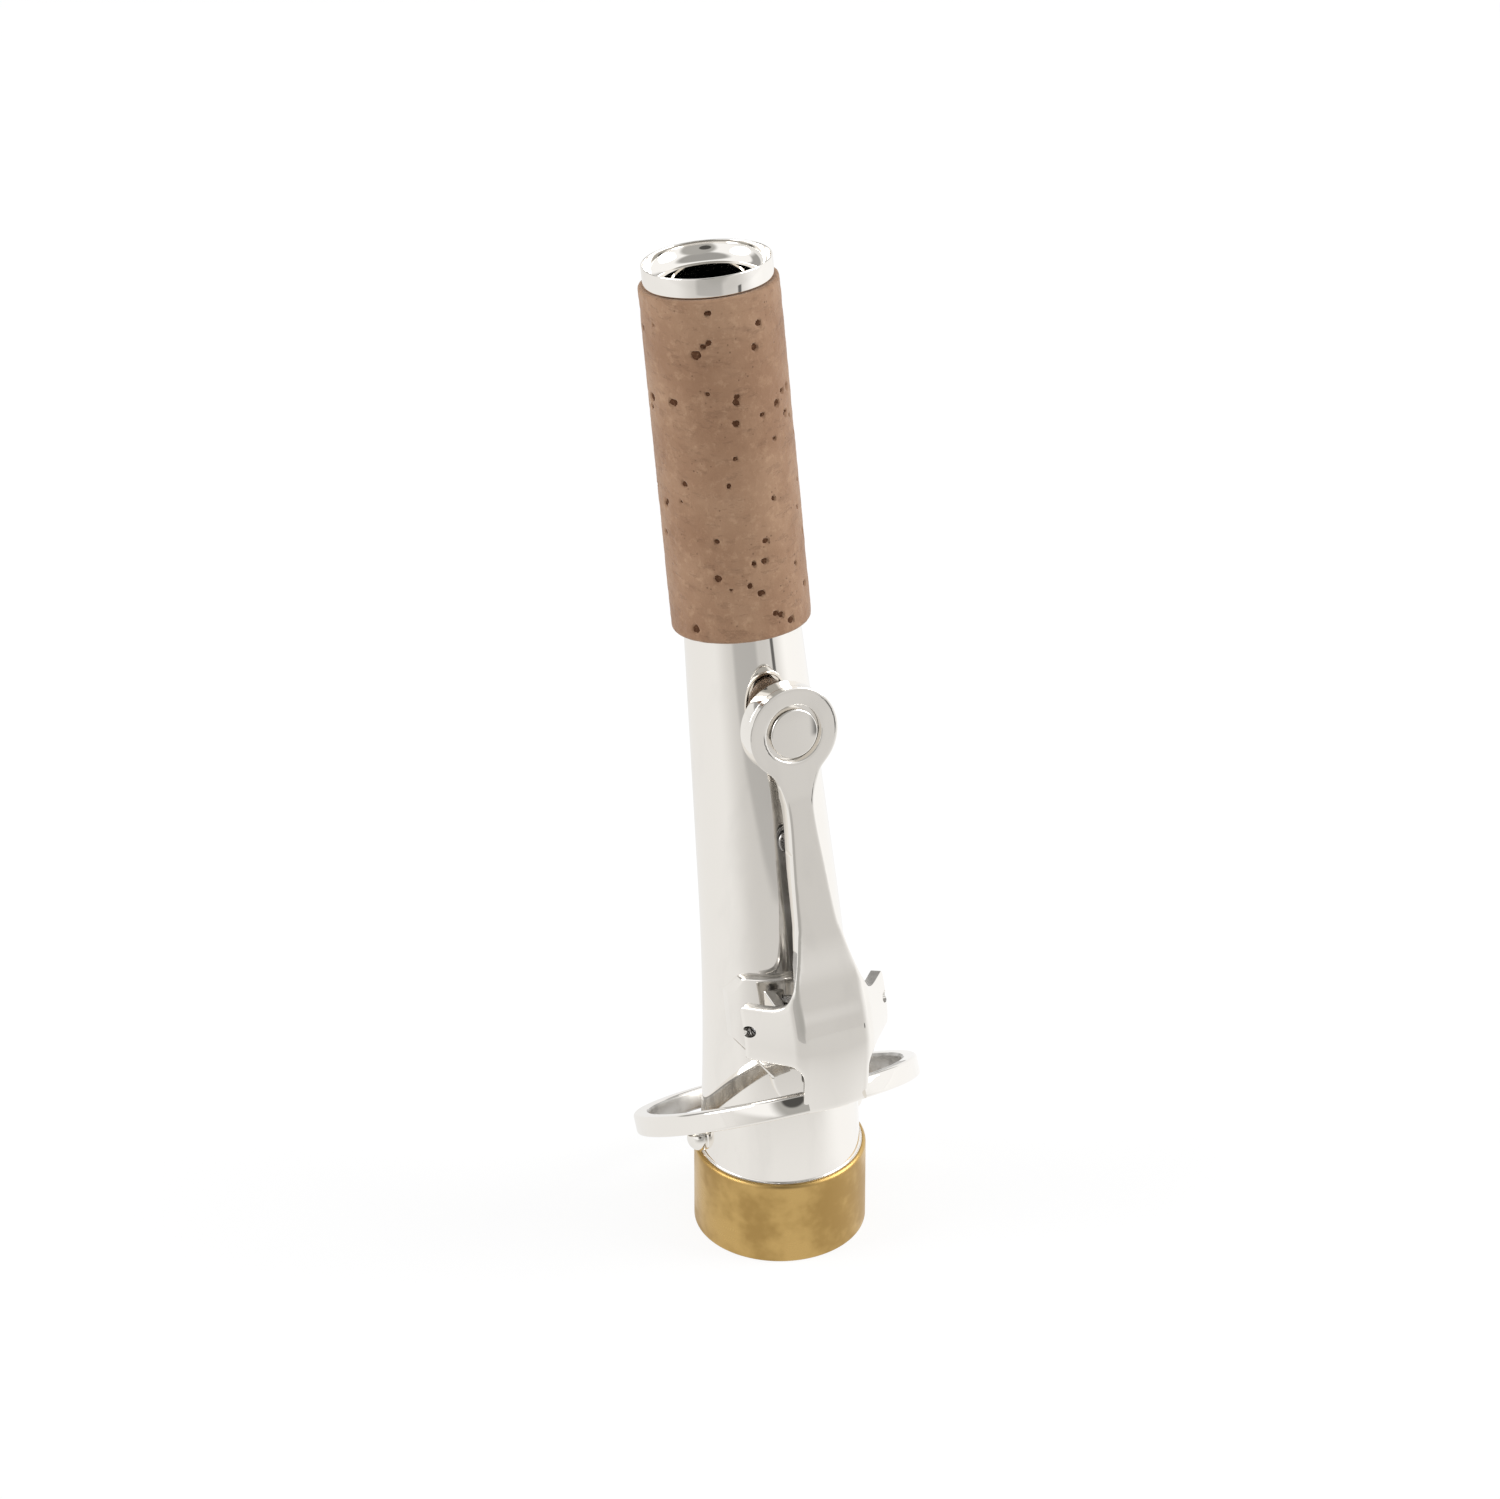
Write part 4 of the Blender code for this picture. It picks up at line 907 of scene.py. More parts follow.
def tarnished_brass():
    """Bare brass with cloudy tarnish and fine turning lines."""

    def make(place, colours):
        cloud = grain(place, 130.0, 4.0, 0.55)
        spot = grain(place, 700.0, 3.0)
        tarnish = ramp(cloud + spot * 0.2, 0.48, 0.72)
        lines = grain(stretched(place, 1.0, 1.0, 60.0), 120.0, 2.0)
        return {
            "Base Color": blend(tarnish, colours.brass, colours.brass_dull),
            "Metallic": 1.0,
            "Roughness": tarnish * 0.16 + lines * 0.08 + 0.24,
            "Normal": bumped(lines, 0.01 * MM),
        }

    return new_material("tarnished_brass", make)


def sanded_cork():
    """Sanded cork: warm mottled ground, pale flecks, short dark veins and small specks."""

    def make(place, colours):
        cloud = ramp(grain(place, 110.0, 5.0, 0.6), 0.38, 0.66)
        fleck = ramp(grain(place, 1000.0, 4.0, 0.7), 0.5, 0.7)
        streak = ramp(grain(stretched(place, 1.0, 1.0, 2.6), 260.0, 5.0, 0.65), 0.55, 0.7)
        vein = grain(stretched(place, 1.0, 1.0, 3.2), 420.0, 5.0, 0.7)
        thread = ramp(vein, 0.57, 0.62) * ramp(vein, 0.70, 0.65)
        cells = place.node("ShaderNodeTexVoronoi", None, {"Vector": place, "Scale": 1500.0})
        speck = ramp(cells, 0.2, 0.08) * ramp(grain(place, 420.0, 2.0), 0.5, 0.6)
        ground = blend(fleck * 0.4 + cloud * 0.45, colours.cork, colours.cork_light)
        dark = thread * 0.2 + speck * 0.6 + streak * 0.2
        relief = grain(place, 3200.0, 4.0, 0.7) - dark * 0.8
        return {
            "Base Color": blend(dark, ground, colours.cork_dark),
            "Roughness": fleck * 0.1 + 0.7,
            "Specular IOR Level": 0.3,
            "Sheen Weight": 0.2,
            "Sheen Roughness": 0.4,
            "Normal": bumped(relief, 0.05 * MM),
        }

    return new_material("sanded_cork", make)


def cork_pore():
    """Dark crumbly filling of the cork's pores."""

    def make(place, colours):
        crumb = grain(place, 4200.0, 4.0, 0.7)
        edge = ramp(crumb, 0.5, 0.75)
        return {
            "Base Color": blend(edge * 0.55, colours.cork_dark, colours.cork),
            "Roughness": crumb * 0.1 + 0.85,
            "Specular IOR Level": 0.15,
            "Normal": bumped(crumb, 0.1 * MM),
        }

    return new_material("cork_pore", make)


def drawn_steel():
    """Bright drawn steel with fine lines along the rod."""

    def make(place, colours):
        lines = grain(stretched(place, 1.0, 40.0, 40.0), 90.0, 3.0)
        return {
            "Base Color": blend(lines * 0.3, colours.steel, colours.spring),
            "Metallic": 1.0,
            "Roughness": lines * 0.15 + 0.18,
            "Normal": bumped(lines, 0.01 * MM),
        }

    return new_material("drawn_steel", make)


def blued_spring():
    """Dark blued spring steel, rubbed brighter in patches."""

    def make(place, colours):
        rub = ramp(grain(place, 380.0, 4.0), 0.5, 0.75)
        return {
            "Base Color": blend(rub * 0.3, colours.spring, colours.steel),
            "Metallic": 1.0,
            "Roughness": rub * 0.1 + 0.38,
        }

    return new_material("blued_spring", make)


def waxed_skin():
    """Thin waxy skin drawn over a felt disc."""

    def make(place, colours):
        cloud = grain(place, 500.0, 4.0)
        crease = grain(place, 1800.0, 3.0)
        return {
            "Base Color": blend(ramp(cloud, 0.4, 0.8) * 0.5, colours.skin, colours.cork_light),
            "Roughness": crease * 0.2 + 0.4,
            "Coat Weight": 0.15,
            "Normal": bumped(crease, 0.04 * MM),
        }

    return new_material("waxed_skin", make)


class NECK_OT_tube(Operator):
    """Conical tube, straight at the tenon, bent, then straight to the tip"""

    bl_idname = "neck.tube"
    bl_label = "Tube"

    def execute(self, context):
        shape = Shape(context.scene)
        neck = shape.neck
        seat = neck.tenon_length
        start = seat - neck.tenon_socket + neck.joint_gap
        end = neck.cork_start + neck.cork_length + neck.ring_gap - neck.ring_spigot
        spigot = neck.tube_lower - neck.spigot_step
        corner = (neck.tube_lower + neck.solder, seat + neck.solder)
        fillet = arc(corner, neck.solder, 3 * pi / 2, pi, EDGE_STEPS)
        outer = [(shape.tube_radius(s), s) for s in np.linspace(corner[1], end, TUBE_ROWS)[1:]]
        down = np.linspace(end, corner[1], BORE_ROWS)
        inner = [(shape.tube_radius(s) - neck.tube_wall, s) for s in down]
        ends = [(spigot - neck.tube_wall, start), (spigot, start), (spigot, seat)]
        tube = new_object("neck_tube_body", turned(fillet + outer + inner + ends, shape.axis_frame))
        add_piece(tube, polished_silver(), "silver_plate", "neck", "neck_tube")
        return {"FINISHED"}


class NECK_OT_tenon(Operator):
    """Turned brass tenon with a rounded upper edge"""

    bl_idname = "neck.tenon"
    bl_label = "Tenon"

    def execute(self, context):
        shape = Shape(context.scene)
        neck = shape.neck
        socket = neck.tube_lower - neck.spigot_step
        bore = socket - neck.tube_wall
        seat = neck.tenon_length - neck.tenon_socket
        profile = rounded([
            (socket, neck.tenon_length, 0),
            (neck.tenon_radius, neck.tenon_length, neck.tenon_edge),
            (neck.tenon_radius, 0, neck.tenon_chamfer),
            (bore, 0, neck.tenon_lip),
            (bore, seat, 0),
            (socket, seat, 0),
        ])
        tenon = new_object("tenon_sleeve", turned(profile, fixed(shape.axis_frame(0)), 2 * SEGMENTS))
        add_piece(tenon, tarnished_brass(), "brass", "neck", "tenon")
        return {"FINISHED"}


def divided(profile, step):
    """Closed profile with points no further apart than a step."""
    points = []
    for (r0, z0), (r1, z1) in zip(profile, profile[1:] + profile[:1]):
        parts = max(1, int(Vector((r1 - r0, z1 - z0)).length / step))
        for part in range(parts):
            points.append((r0 + (r1 - r0) * part / parts, z0 + (z1 - z0) * part / parts))
    return points


class NECK_OT_cork(Operator):
    """Cork sleeve with an uneven sanded surface and scattered pores"""

    bl_idname = "neck.cork"
    bl_label = "Cork"

    def execute(self, context):
        shape = Shape(context.scene)
        neck = shape.neck
        place = shape.axis_frame(neck.cork_start)
        radius, height = neck.cork_radius, neck.cork_length
        profile = rounded([
            (shape.tube_radius(neck.cork_start + height), height, 0),
            (radius, height, neck.cork_top_edge),
            (radius, 0, neck.cork_edge),
            (shape.tube_radius(neck.cork_start), 0, 0),
        ])
        edge = neck.pore_radius
        face = [(radius, edge), (radius, height - edge)]
        band = new_object("cork_pores", turned(face, fixed(place), SEGMENTS, False))
        pores = self.pores(band, neck)
        solid = turned(divided(profile, neck.cork_step), fixed(place), 2 * SEGMENTS)
        self.roughen(solid, place, neck, pores)
        cork = new_object("cork_body", solid)
        add_piece(cork, sanded_cork(), "cork", "neck", "cork_sleeve")
        add_piece(pores, cork_pore(), "cork", "neck")
        return {"FINISHED"}

    def roughen(self, solid, place, neck, pores):
        """Sink the cork's outer face a little all over, and deeper at each pore."""
        points = np.array([vert.co for vert in pores.data.vertices])
        lumps = points.reshape(-1, PORE_POINTS, 3)
        middles = lumps.mean(axis=1)
        reach = np.linalg.norm(lumps - middles[:, None], axis=2).mean(axis=1)
        back = place.inverted()
        for vert in solid.verts:
            local = back @ vert.co
            if local.xy.length < neck.cork_radius - neck.cork_edge:
                continue
            rough = noise.fractal(vert.co * CORK_BUMPS, 0.6, 2.0, 3)
            sink = neck.cork_relief * max(0.0, CORK_LEVEL - rough)
            away = np.linalg.norm(middles - np.array(vert.co), axis=1)
            away = np.sqrt(np.maximum(away**2 - neck.pore_depth**2, 0)) / reach
            ragged = away.min() + PORE_RAGGED * noise.noise(vert.co * PORE_CRUMBS)
            hole = np.interp(ragged, PORE_WALL, (1.0, 0.0))
            sink = max(sink, PORE_SINK * neck.pore_depth * hole)
            local.xy *= 1 - sink / local.xy.length
            vert.co = place @ local

    def pores(self, band, neck):
        """Pores scattered over the cork's outer face with Geometry Nodes."""
        tree = bpy.data.node_groups.new("cork_pores", "GeometryNodeTree")
        tree.interface.new_socket("Geometry", in_out="INPUT", socket_type="NodeSocketGeometry")
        values = {
            "Density": ("Float", float(neck.pore_count)),
            "Seed": ("Int", neck.pore_seed),
            "Radius": ("Float", neck.pore_radius),
            "Depth": ("Float", neck.pore_depth),
            "Material": ("Material", cork_pore()),
        }
        sockets = {}
        for name, (kind, _) in values.items():
            sockets[name] = tree.interface.new_socket(name, in_out="INPUT", socket_type="NodeSocket" + kind)
        tree.interface.new_socket("Geometry", in_out="OUTPUT", socket_type="NodeSocketGeometry")
        group = Value(tree)
        given = tree.nodes.new("NodeGroupInput")
        wire = {socket.name: Value(tree, socket) for socket in given.outputs}
        scatter = tree.nodes.new("GeometryNodeDistributePointsOnFaces")
        for name, socket in (("Mesh", "Geometry"), ("Density", "Density"), ("Seed", "Seed")):
            tree.links.new(wire[socket].socket, scatter.inputs[name])
        points, normal, turn = (Value(tree, scatter.outputs[k]) for k in ("Points", "Normal", "Rotation"))

        def vector(operation, first, second, name=1):
            return group.node("ShaderNodeVectorMath", {"operation": operation}, {0: first, name: second})

        down = vector("SCALE", normal, wire["Depth"] * -1.0, "Scale")
        sunk = group.node("GeometryNodeSetPosition", None, {"Geometry": points, "Offset": down})
        blob = group.node("GeometryNodeMeshIcoSphere", None, {"Radius": 1.0, "Subdivisions": 3})
        spread = {"data_type": "FLOAT_VECTOR"}
        sizes = {0: PORE_SMALLEST, 1: PORE_LARGEST, "Seed": wire["Seed"]}
        size = group.node("FunctionNodeRandomValue", spread, sizes)
        placed = group.node("GeometryNodeInstanceOnPoints", None, {
            "Points": sunk,
            "Instance": blob,
            "Rotation": turn,
            "Scale": vector("SCALE", size, wire["Radius"], "Scale"),
        })
        real = group.node("GeometryNodeRealizeInstances", None, {"Geometry": placed})
        wave = group.node("ShaderNodeTexNoise", None, {"Scale": PORE_WAVES, "Detail": 2.0}, "Color")
        swing = vector("SUBTRACT", wave, (0.5, 0.5, 0.5))
        uneven = vector("SCALE", swing, wire["Radius"] * PORE_WAVE_SHARE, "Scale")
        ragged = group.node("GeometryNodeSetPosition", None, {"Geometry": real, "Offset": uneven})
        finish = {"Geometry": ragged, "Material": wire["Material"]}
        painted = group.node("GeometryNodeSetMaterial", None, finish)
        result = tree.nodes.new("NodeGroupOutput")
        tree.links.new(painted.socket, result.inputs[0])
        modifier = band.modifiers.new("pores", "NODES")
        modifier.node_group = tree
        for name, (_, value) in values.items():
            modifier[sockets[name].identifier] = value
        return applied(band)


class NECK_OT_tip_ring(Operator):
    """Dished ring on the tube's end"""

    bl_idname = "neck.tip_ring"
    bl_label = "Tip ring"

    def execute(self, context):
        shape = Shape(context.scene)
        neck = shape.neck
        seat = neck.cork_start + neck.cork_length + neck.ring_gap
        throat = neck.ring_height - neck.ring_dish
        rim = neck.ring_radius - neck.ring_rim
        dish = []
        for turn in np.linspace(0, pi / 2, 3 * CURVE_STEPS):
            out = neck.ring_bore + (rim - neck.ring_bore) * sin(turn)
            dish.append((out, throat + neck.ring_dish * (1 - cos(turn))))
        half = neck.ring_rim / 2
        crest = arc((neck.ring_radius - half, neck.ring_height - half), half, pi, 0, EDGE_STEPS)
        foot = [(*crest[-1], 0), (neck.ring_radius, 0, neck.ring_edge), (neck.tube_tip, 0, 0)]
        profile = [
            (neck.ring_bore, -neck.ring_spigot),
            *dish[:-1],
            *crest,
            *rounded(foot, EDGE_STEPS, False)[1:],
            (neck.tube_tip, -neck.ring_spigot),
        ]
        ring = new_object("tip_ring_body", turned(profile, fixed(shape.axis_frame(seat)), 2 * SEGMENTS))
        add_piece(ring, polished_silver(), "silver_plate", "neck", "tip_ring")
        return {"FINISHED"}


class NECK_OT_studs(Operator):
    """Round stud on each side of the tube, just above the tenon"""

    bl_idname = "neck.studs"
    bl_label = "Studs"

    def execute(self, context):
        shape = Shape(context.scene)
        neck = shape.neck
        station = neck.tenon_length + neck.joint_gap + neck.stud_radius
        reach = shape.tube_radius(station) + neck.stud_standoff
        base = asin(neck.stud_standoff / neck.stud_radius)
        foot = neck.stud_radius * cos(base)
        profile = [
            *arc((0, 0), neck.stud_radius, pi / 2, -base, CURVE_STEPS),
            (foot + neck.stud_collar, -neck.stud_standoff - neck.stud_collar_depth),
            (foot, -neck.stud_standoff - neck.stud_root),
            (0, -neck.stud_standoff - neck.stud_root),
        ]
        for side, name in ((-1, "left_stud"), (1, "right_stud")):
            out = Vector((side * cos(neck.stud_turn), sin(neck.stud_turn), 0))
            turn = Vector((0, 0, 1)).rotation_difference(out).to_matrix().to_4x4()
            place = Matrix.Translation(shape.axis_frame(station).translation + out * reach) @ turn
            stud = new_object(name + "_bead", turned(profile, fixed(place), SMALL_SEGMENTS, False))
            add_piece(stud, polished_silver(), "silver_plate", "neck", name)
        return {"FINISHED"}


class NECK_OT_vent(Operator):
    """Vent pipe through the tube's wall, under the pad"""

    bl_idname = "neck.vent"
    bl_label = "Vent"

    def execute(self, context):
        shape = Shape(context.scene)
        key = shape.key
        wall = shape.tube_radius(key.eye)
        profile = rounded([
            (key.pip_bore, wall + key.pip_height, key.pip_bore_edge),
            (key.pip_radius, wall + key.pip_height, key.pip_edge),
            (key.pip_radius, wall - shape.neck.tube_wall, 0),
            (key.pip_bore, wall - shape.neck.tube_wall, 0),
        ])
        place = fixed(shape.front_frame(key.eye))
        pip = new_object("octave_vent", turned(profile, place, SMALL_SEGMENTS))
        add_piece(pip, polished_silver(), "silver_plate", "neck", "octave_pip")
        return {"FINISHED"}


class NECK_OT_saddle(Operator):
    """Saddle plate with its tongue wrapped on the tube, and an ear at each side for the rod"""

    bl_idname = "neck.saddle"
    bl_label = "Saddle"

    def execute(self, context):
        shape = Shape(context.scene)
        hinge = shape.hinge
        shoulder = hinge.tongue_end - hinge.tongue_width
        flank = spline([
            (hinge.saddle_width, -hinge.saddle_low),
            ((hinge.saddle_width + hinge.tongue_width) / 2, -(hinge.saddle_low + shoulder) / 2),
            (hinge.tongue_width, -shoulder),
        ], CURVE_STEPS)
        head = rounded([
            (0, hinge.saddle_top, 0),
            (hinge.saddle_width - hinge.saddle_cut, hinge.saddle_top, hinge.saddle_corner),
            (hinge.saddle_width, hinge.saddle_side, hinge.saddle_corner),
            (hinge.saddle_width, -hinge.saddle_low, 0),
        ], EDGE_STEPS, False)
        end = arc((0, -shoulder), hinge.tongue_width, 0, -pi / 2, CURVE_STEPS)
        outline = mirrored(head[:-1] + flank + end[1:])
        across = np.linspace(-hinge.saddle_width, hinge.saddle_width, SADDLE_ACROSS)[1:-1]
        along = np.linspace(-hinge.tongue_end, hinge.saddle_top, SADDLE_ALONG)[1:-1]
        base = bent(plate(outline, [], hinge.plate_edge, PLATE_ROLL, across, along), shape.saddle_point)
        pivot = shape.tube_radius(hinge.hinge) + hinge.pivot_height
        low = shape.tube_radius(hinge.hinge) * hinge.ear_root
        ear = [
            *arc((0, pivot), hinge.ear_radius, 0, pi, 2 * CURVE_STEPS),
            (-hinge.ear_foot, low),
            (hinge.ear_foot, low),
        ]
        hole = arc((0, pivot), hinge.hole_radius, 0, 2 * pi, 4 * CURVE_STEPS)[:-1]
        place = shape.front_frame(hinge.hinge)
        ears = []
        for side in (-1, 1):
            def stand(along_neck, out, share, side=side):
                x = side * (hinge.ear_outer - (1 - share) * hinge.ear_thickness)
                return place @ Vector((x, along_neck, out))
            ears.append(bent(plate(ear, [hole], hinge.plate_edge, PLATE_ROLL), stand))
        saddle = new_object("key_saddle_plate", joined(base, *ears))
        add_piece(saddle, polished_silver(), "silver_plate", "neck", "key_saddle")
        # Painted shade on the saddle's inner faces and rims, which are also left unpolished.
        unpolish_and_paint_shade(saddle, shape.front_point(hinge.hinge, 0), rims=True)
        return {"FINISHED"}


class NECK_OT_rod(Operator):
    """Steel hinge rod with thin ends for the lugs and a slot in each end"""

    bl_idname = "neck.rod"
    bl_label = "Hinge rod"

    def execute(self, context):
        shape = Shape(context.scene)
        hinge = shape.hinge
        shoulder = hinge.rod_half - hinge.pin_length
        corners = []
        for side in (1, -1):
            end = [
                (0, side * hinge.rod_half, 0),
                (hinge.pin_radius, side * hinge.rod_half, hinge.pin_edge),
                (hinge.pin_radius, side * shoulder, 0),
                (hinge.rod_radius, side * shoulder, hinge.rod_edge),
            ]
            corners += end[::side]
        place = shape.hinge_frame()
        profile = rounded(corners, EDGE_STEPS, False)
        rod = new_object("hinge_rod_body", turned(profile, fixed(place), SMALL_SEGMENTS, False))
        slot = (hinge.rod_slot, SLOT_LENGTH, 2 * hinge.rod_slot_depth)
        for end in (-hinge.rod_half, hinge.rod_half):
            cut(rod, box(place @ Matrix.Translation((0, 0, end)), slot))
        add_piece(rod, drawn_steel(), "steel", "neck", "hinge_rod")
        return {"FINISHED"}


def box(matrix, sides):
    """Closed box of the given sides round the matrix's origin, for cutting."""
    shape = bmesh.new()
    bmesh.ops.create_cube(shape, size=1.0, matrix=matrix @ Matrix.Diagonal((*sides, 1)))
    return shape


class NECK_OT_arm(Operator):
    """Key arm in one piece: an eye, a tapered bar, a shield over the hinge and a foot"""

    bl_idname = "neck.arm"
    bl_label = "Key arm"

    def execute(self, context):
        shape = Shape(context.scene)
        arm = new_object("key_arm_body", shape.key_pattern(lugs=False))
        add_piece(arm, polished_silver(), "silver_plate", "octave_key", "key_arm")
        # Painted shade on the arm's faces that look in towards the tube, which are also left unpolished.
        unpolish_and_paint_shade(arm, shape.front_point(shape.key.eye, 0))
        return {"FINISHED"}


class NECK_OT_cup(Operator):
    """Pad cup whose round boss stands in the eye of the arm"""

    bl_idname = "neck.cup"
    bl_label = "Pad cup"

    def execute(self, context):
        shape = Shape(context.scene)
        key = shape.key
        eye_top = shape.tube_radius(key.eye) + key.eye_height
        boss_top = eye_top + key.boss_height
        roof = eye_top - key.eye_thickness - key.cup_line
        outer = key.cup_radius - key.cup_line
        skirt = eye_top - key.eye_thickness - shape.neck.joint_gap - key.cup_depth
        inner = key.cup_radius - key.cup_wall
        under = eye_top - key.eye_thickness - shape.neck.joint_gap - key.cup_roof
        profile = rounded([
            (0, boss_top, 0),
            (key.boss_radius, boss_top, key.boss_edge),
            (key.boss_radius, roof, 0),
            (outer, roof, key.cup_edge),
            (outer, skirt, key.skirt_edge),
            (inner, skirt, key.skirt_edge),
            (inner, under, 0),
            (0, under, 0),
        ], EDGE_STEPS, False)
        place = fixed(shape.front_frame(key.eye))
        cup = new_object("pad_cup_body", turned(profile, place, SEGMENTS, False))
        add_piece(cup, polished_silver(), "silver_plate", "octave_key", "pad_cup")
        return {"FINISHED"}


class NECK_OT_pad(Operator):
    """Skin-covered pad with the ring that the vent has pressed into it"""

    bl_idname = "neck.pad"
    bl_label = "Pad"

    def execute(self, context):
        shape = Shape(context.scene)
        key, gap = shape.key, shape.neck.joint_gap
        wall = shape.tube_radius(key.eye)
        top = wall + key.eye_height - key.eye_thickness - key.cup_roof - 2 * gap
        bottom = wall + key.pip_height + gap
        radius = key.cup_radius - key.cup_wall - gap
        profile = [(0, top), (radius - key.pad_top_edge, top), (radius, top - key.pad_top_edge)]
        edge = (radius - key.pad_edge, bottom + key.pad_edge)
        profile += arc(edge, key.pad_edge, 0, -pi / 2, EDGE_STEPS)
        for r in np.linspace(edge[0], 0, PAD_ROWS)[1:]:
            away = (r - key.pip_radius + key.pad_press_inset) / key.pad_press_width
            profile.append((float(r), float(bottom + key.pad_press * np.exp(-(away**2)))))
        place = fixed(shape.front_frame(key.eye))
        pad = new_object("octave_pad_skin", turned(profile, place, SEGMENTS, False))
        add_piece(pad, waxed_skin(), "pad_skin", "octave_key", "octave_pad")
        return {"FINISHED"}


class NECK_OT_bridge(Operator):
    """Lug on each side of the shield, which bends back from it and is bored for the rod"""

    bl_idname = "neck.bridge"
    bl_label = "Hinge bridge"

    def execute(self, context):
        shape = Shape(context.scene)
        hinge = shape.hinge
        bridge = new_object("hinge_bridge_body", shape.key_pattern(lugs=True))
        bore = [(0, -2 * hinge.rod_half), (hinge.pin_hole, -2 * hinge.rod_half)]
        bore += [(hinge.pin_hole, 2 * hinge.rod_half), (0, 2 * hinge.rod_half)]
        cut(bridge, turned(bore, fixed(shape.hinge_frame()), SMALL_SEGMENTS, False))
        add_piece(bridge, polished_silver(), "silver_plate", "octave_key", "hinge_bridge")
        # Painted shade on the lugs' inner faces and rims, which are also left unpolished.
        unpolish_and_paint_shade(bridge, shape.front_point(hinge.hinge, 0), rims=True)
        return {"FINISHED"}


class NECK_OT_octave_ring(Operator):
    """Octave ring round the tenon, tilted down to the back and closed by the arm's foot"""

    bl_idname = "neck.octave_ring"
    bl_label = "Octave ring"

    def execute(self, context):
        shape = Shape(context.scene)
        key = shape.key
        half = key.ring_height / 2
        profile = rounded([
            (key.ring_inner, half, key.ring_edge),
            (key.ring_outer, half, key.ring_edge),
            (key.ring_outer, -half, key.ring_edge),
            (key.ring_inner, -half, key.ring_edge),
        ])
        middle = (key.ring_inner + key.ring_outer) / 2
        station = key.foot + half
        front = shape.front_point(station, shape.face(station) - (key.ring_outer - key.ring_inner) / 2)
        centre = Matrix.Translation(front + Vector((0, middle, -middle * tan(key.ring_tilt))))
        tilt = Matrix.Rotation(-key.ring_tilt, 4, "X")
        stretch = Matrix.Diagonal((1, 1 / cos(key.ring_tilt), 1, 1))
        ring = new_object("octave_ring_band", turned(profile, fixed(centre @ tilt @ stretch), 2 * SEGMENTS))
        ahead = Matrix.Translation((0, -key.ring_outer, 0))
        gap = 2 * (key.foot_width - key.ring_lap)
        cut(ring, box(centre @ ahead, (gap, RING_CUT_DEPTH, RING_CUT_HEIGHT)))
        add_piece(ring, polished_silver(), "silver_plate", "octave_key", "octave_ring")
        # Painted shade on the ring's inner face round the tenon, which is also left unpolished.
        unpolish_and_paint_shade(ring, centre.translation)
        return {"FINISHED"}


class NECK_OT_spring(Operator):
    """Flat spring from under the arm to the saddle's tongue"""

    bl_idname = "neck.spring"
    bl_label = "Flat spring"

    def execute(self, context):
        shape = Shape(context.scene)
        hinge = shape.hinge
        width, end = hinge.spring_width, hinge.spring_end
        half = arc((0, end - width), width, pi / 2, 0, CURVE_STEPS)
        half += rounded([
            (width, end - width, 0),
            (width, hinge.spring_tip, hinge.spring_corner),
            (0, hinge.spring_tip, 0),
        ], EDGE_STEPS, False)[1:]
        room = hinge.screw_radius + shape.neck.joint_gap
        hole = arc((0, end - hinge.screw_inset), room, 0, 2 * pi, 2 * CURVE_STEPS)[:-1]
        along = np.arange(hinge.spring_tip + SPRING_STRIP, end, SPRING_STRIP)
        pattern = plate(mirrored(half), [hole], hinge.spring_edge, PLATE_ROLL, (), along)
        spring = new_object("flat_spring_strip", bent(pattern, shape.spring_point))
        add_piece(spring, blued_spring(), "blued_steel", None, "flat_spring")
        tip = shape.spring_point(0, hinge.spring_tip, 1.0)
        held = shape.spring_point(0, end - 2 * hinge.screw_inset, 1.0)
        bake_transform(spring)
        return {"FINISHED"}


class NECK_OT_screw(Operator):
    """Slotted screw that holds the spring to the arm from below"""

    bl_idname = "neck.screw"
    bl_label = "Spring screw"

    def execute(self, context):
        shape = Shape(context.scene)
        hinge = shape.hinge
        station = hinge.spring_end - hinge.screw_inset
        wall = shape.tube_radius(station)
        top = wall + shape.arm_underside(station) + hinge.screw_depth
        spring = float(np.interp(station, *shape.spring_line))
        head = wall + spring - hinge.spring_thickness - shape.neck.joint_gap
        face = head - hinge.screw_height
        profile = rounded([
            (0, top, 0),
            (hinge.screw_radius, top, hinge.screw_end_edge),
            (hinge.screw_radius, head, 0),
            (hinge.screw_head, head, hinge.screw_seat_edge),
            (hinge.screw_head, face, hinge.screw_head_edge),
            (0, face, 0),
        ], EDGE_STEPS, False)
        place = shape.front_frame(station)
        screw = new_object("spring_screw_body", turned(profile, fixed(place), SMALL_SEGMENTS, False))
        slot = (hinge.screw_slot, SLOT_LENGTH, 2 * hinge.screw_slot_depth)
        cut(screw, box(place @ Matrix.Translation((0, 0, face)), slot))
        add_piece(screw, drawn_steel(), "steel", "octave_key", "spring_screw")
        return {"FINISHED"}


